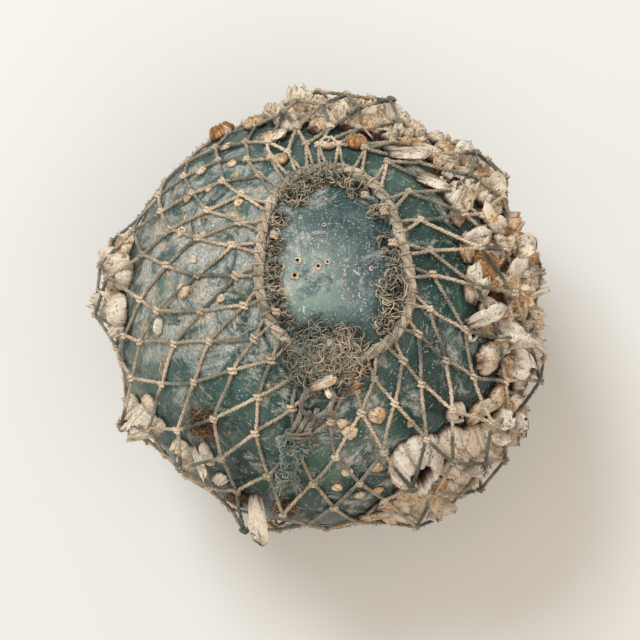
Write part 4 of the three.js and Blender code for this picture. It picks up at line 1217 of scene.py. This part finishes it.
def deepen(parts):
    # Painted shade and dirt in the gaps of a patch: the shade rises as 3t^2 - 2t^3 from its reach down to the
    # glass.
    for p in parts:
        height = np.linalg.norm(p["points"], axis=-1) - ball["radius"]
        p["shade"] = np.maximum(p["shade"], 0.9 * smooth(1 - height / shellWork["shadeAndDirtReach"]))


makers = {"barnacle": barnaclePart, "dome": domePart, "plate": domePart, "crust": crustPart,
          "spike": spikePart, "cup": cupPart}


def makeColonies():
    # One piece for each patch, and one for what is strewn over its crust.
    seed = 0
    for name, specs in colonies.items():
        parts = []
        everything = specs + fillers.get(name, [])
        for g in everything:
            seed += 1
            if g["kind"] == "plate" and len(everything) > 3:
                parts += plateParts(g, seed)
            else:
                parts.append(makers[g["kind"]](g, seed))
        title = camelCase(name)
        broken = litter(everything, seed * 3)
        # Painted shade and dirt, deeper towards the glass, in the larger patches.
        if len(everything) > 6:
            deepen(parts + broken)
        makePiece(title, parts, shell, (name,))
        if broken:
            makePiece(title + "Litter", broken, shell)


makeColonies()
print("barnacles made")


# Scars and small rings left on the glass.

scars = [
    (169, 40, 5.4, 0.5), (149, 49, 4.1, 0.55), (120, 66, 4.2, 0.5), (130, 62, 4.5, 0.5),
    (121, 55, 3.8, 0.5), (132, 52, 3.1, 0.4), (139, 56, 3.4, 0.45), (127, 40, 3.3, 0.4),
    (169, 28, 3.3, 0.45), (146, 41, 3.0, 0.5), (156, 40, 3.0, 0.0), (-62, 29, 6.0, 0.6),
    (-78, 31, 5.3, 0.6), (-81, 28, 3.6, 0.6), (-82, 44, 4.0, 0.55), (-71, 45, 4.4, 0.6),
    (-86, 50, 3.7, 0.6), (-79, 55, 4.1, 0.55), (-73, 55, 3.8, 0.6), (-110, 35, 3.7, 0.55),
    (-51, 37, 3.0, 0.6), (-72, 15, 3.3, 0.8), (-67, 20, 3.3, 0.8)]
tinyRings = [
    (116, 16, 2.6, 0.45), (131, 17, 2.6, 0.5), (126, 13, 2.9, 0.5), (98, 13, 2.3, 0.5),
    (88, 14, 2.0, 0.0), (47, 17, 1.6, 0.0), (104, 27, 1.3, 0.1), (91, 24, 1.3, 0.1)]


def scarPart(bearing, drop, radius, tint, seed):
    # A low brown cap: a rounded edge darkened by painted shade, faint circles and a lighter crown.
    sides = 30
    t = circle(sides)
    reach = np.array([1.06, 1.04, 0.99, 0.9, 0.8, 0.7, 0.58, 0.46, 0.34, 0.2, 0.07])[:, None]
    level = np.sqrt(np.clip(1.1 - reach**2, 0, 1)) * radius * 0.5 * (1 + 0.05 * np.cos(reach * 38))
    level[0] = 0
    wide = radius * reach * (1 + 0.07 * np.sin(3 * t + seed) + 0.04 * np.sin(7 * t + 2 * seed))
    grid = aroundAxis(wide, t, level + 0 * t)
    grid = grid * (1 + 0.05 * lumps(grid, 2.2, seed))[..., None]
    # Painted shade towards the rim; the faint circles are dark rings of the cap itself.
    dark = 0.36 * smooth((reach - 0.72) / 0.3) + 0.12 * (np.cos(reach * 38) < 0) + 0 * t
    return dish(grid, outward(bearing, drop), 0, dark, tint)


def tinyRingPart(bearing, drop, radius, tint, seed):
    # A small collar round a hole darkened by painted shade.
    small = barnacle(bearing, drop, radius, radius * 0.6, 0.6, tint=tint, teeth=0.2)
    return barnaclePart(small, seed)


# Shells caught in the mat, among them a white chip and a tan one under the loop.
matShells = [
    cup(-83, 6, 11.5, 60, 7, 2.2, 70, -0.3, 0.0), cup(-77, 7.5, 10.5, -55, 9, 2.8, 80, -0.4, 1.0),
    cup(-93, 15.8, 10, 28, 20, 4.4, 75, -0.6, 0.55), cup(-88, 17.8, 9.5, -75, 8, 2.6, 70, -0.4, 0.0),
    cup(-71, 14.6, 6, -10, 13, 5.0, 84, -0.6, 1.0), cup(-69, 18.6, 3.5, 30, 11, 4.2, 84, -0.6, 0.95),
    cup(-57, 15, 5, -30, 10, 3.6, 84, -0.6, 1.1), cup(-96, 12.5, 10, 40, 8, 2.6, 84, -0.4, 0.8)]
makePiece("matShells", [cupPart(g, i) for i, g in enumerate(matShells)], shell)
caps = [scarPart(b, d, r, 0.36 + 0.36 * tint, i) for i, (b, d, r, tint) in enumerate(scars)]
makePiece("barnacleScars", caps, shell)
makePiece("tinyBarnacles", [tinyRingPart(*s, i) for i, s in enumerate(tinyRings)], shell)


# Brown weed between the shells.

def makeWeed():
    # Curls over a small crust, one piece for each tuft, then the loose fibres.
    for name, g in weedTufts.items():
        centre = outward(g["bearing"], g["drop"])
        heart = centre * (ball["radius"] + g["height"] * 0.45)
        curls = wiryBall(heart, g["radius"] * 1.12, 210, 0.6, 1.2)
        low = {**g, "radius": g["radius"] * 0.7, "height": g["height"] * 0.5, "kind": "crust"}
        lumpsUnder = crustPart(low, 3)
        makePiece(camelCase(name), [lumpsUnder, curls], brownWeed, (name,))
    # Loose brown fibres at the feet of the shells.
    roots = []
    for specs in colonies.values():
        for g in specs:
            if g["kind"] != "crust":
                continue
            many = int(g["radius"] * 3.2)
            reach = g["radius"] * dice.uniform(0.4, 1.15, many)
            angle = dice.uniform(0, 2 * np.pi, many)
            roots.append(aroundPlace(outward(g["bearing"], g["drop"]), reach, angle, 2.0))
    roots = np.concatenate(roots)
    curls = arcs(roots, dice.uniform(1.5, 4.5, len(roots)), dice.uniform(0.8, 3.0, len(roots)), 5, 0.36)
    makePiece("shellFringe", [curls], brownWeed)


makeWeed()


# Glass ball.

glass = {"rows": 76, "sides": 152, "inset": 0.25, "uneven": 0.2}


def makeBall():
    # Rings of latitude: radius - inset + uneven*noise, the slow unevenness of blown glass.
    rows, sides = glass["rows"], glass["sides"]
    drop = np.linspace(0, 180, rows + 2)[1:-1]
    bearing = np.arange(sides) * 360 / sides
    direction = outward(bearing[None], drop[:, None])
    level = ball["radius"] - glass["inset"] + glass["uneven"] * lumps(direction * 100, 45.0, 2)
    points = direction * level[..., None]
    index = np.arange(rows * sides).reshape(rows, sides)
    ahead = np.roll(index, -1, 1)
    quads = np.stack([index[:-1], index[1:], ahead[1:], ahead[:-1]], -1).reshape(-1, 4)
    poles = np.array([[0, 0, ball["radius"] - 0.2], [0, 0, 0.2 - ball["radius"]]])
    points = np.concatenate([points.reshape(-1, 3), poles])
    top = np.stack([np.full(sides, rows * sides), index[0], ahead[0]], -1)
    bottom = np.stack([np.full(sides, rows * sides + 1), ahead[-1], index[-1]], -1)
    makePiece("glassBall", [part(points, [quads, top, bottom])], glassFinish(), ("glass_ball",))


makeBall()


# Floor, lights and camera.

def makeStudio():
    # Pale paper floor, three soft lamps aimed at the ball, and a camera looking straight down.
    floorMesh = bpy.data.meshes.new("floor")
    floorMesh.from_pydata([(-4, -4, 0), (4, -4, 0), (4, 4, 0), (-4, 4, 0)], [], [(0, 1, 2, 3)])
    floor = bpy.data.objects.new("floor", floorMesh)
    bpy.context.scene.collection.objects.link(floor)
    paper = Finish("paper", Roughness=0.9, Specular_IOR_Level=0.1)
    floorMesh.materials.append(paper.finish(paper.mix(paper.noise(3, 2), "dcdcd7", "e0e1dc")))
    cool, warm = (0.865, 0.935, 1.0), (1.0, 0.97, 0.93)
    for name, place, size, power, tint in (("key", (-1.0, 1.5, 2.7), 1.0, 64, cool),
                                           ("fill", (1.3, -1.2, 2.3), 2.2, 9, warm),
                                           ("top", (0.1, -0.1, 3.0), 2.2, 16, warm)):
        lamp = bpy.data.lights.new(name, "AREA")
        lamp.size, lamp.energy = size, power
        lamp.color = tint
        light = bpy.data.objects.new(name, lamp)
        light.location = place
        aim = np.array([0, 0, 0.12]) - place
        light.rotation_mode = "QUATERNION"
        light.rotation_quaternion = Vector(aim).to_track_quat("-Z", "Y")
        bpy.context.scene.collection.objects.link(light)
    world = bpy.data.worlds.new("studio")
    world.use_nodes = True
    world.node_tree.nodes["Background"].inputs["Color"].default_value = colour("efdfd3")
    world.node_tree.nodes["Background"].inputs["Strength"].default_value = 0.74
    bpy.context.scene.world = world
    lens = bpy.data.cameras.new("camera")
    lens.lens, lens.sensor_width = 116.4, 36
    camera = bpy.data.objects.new("camera", lens)
    camera.location = (-0.0036, -0.00145, 1.655)
    bpy.context.scene.collection.objects.link(camera)
    bpy.context.scene.camera = camera
    bpy.context.scene.view_settings.view_transform = "Standard"


makeStudio()
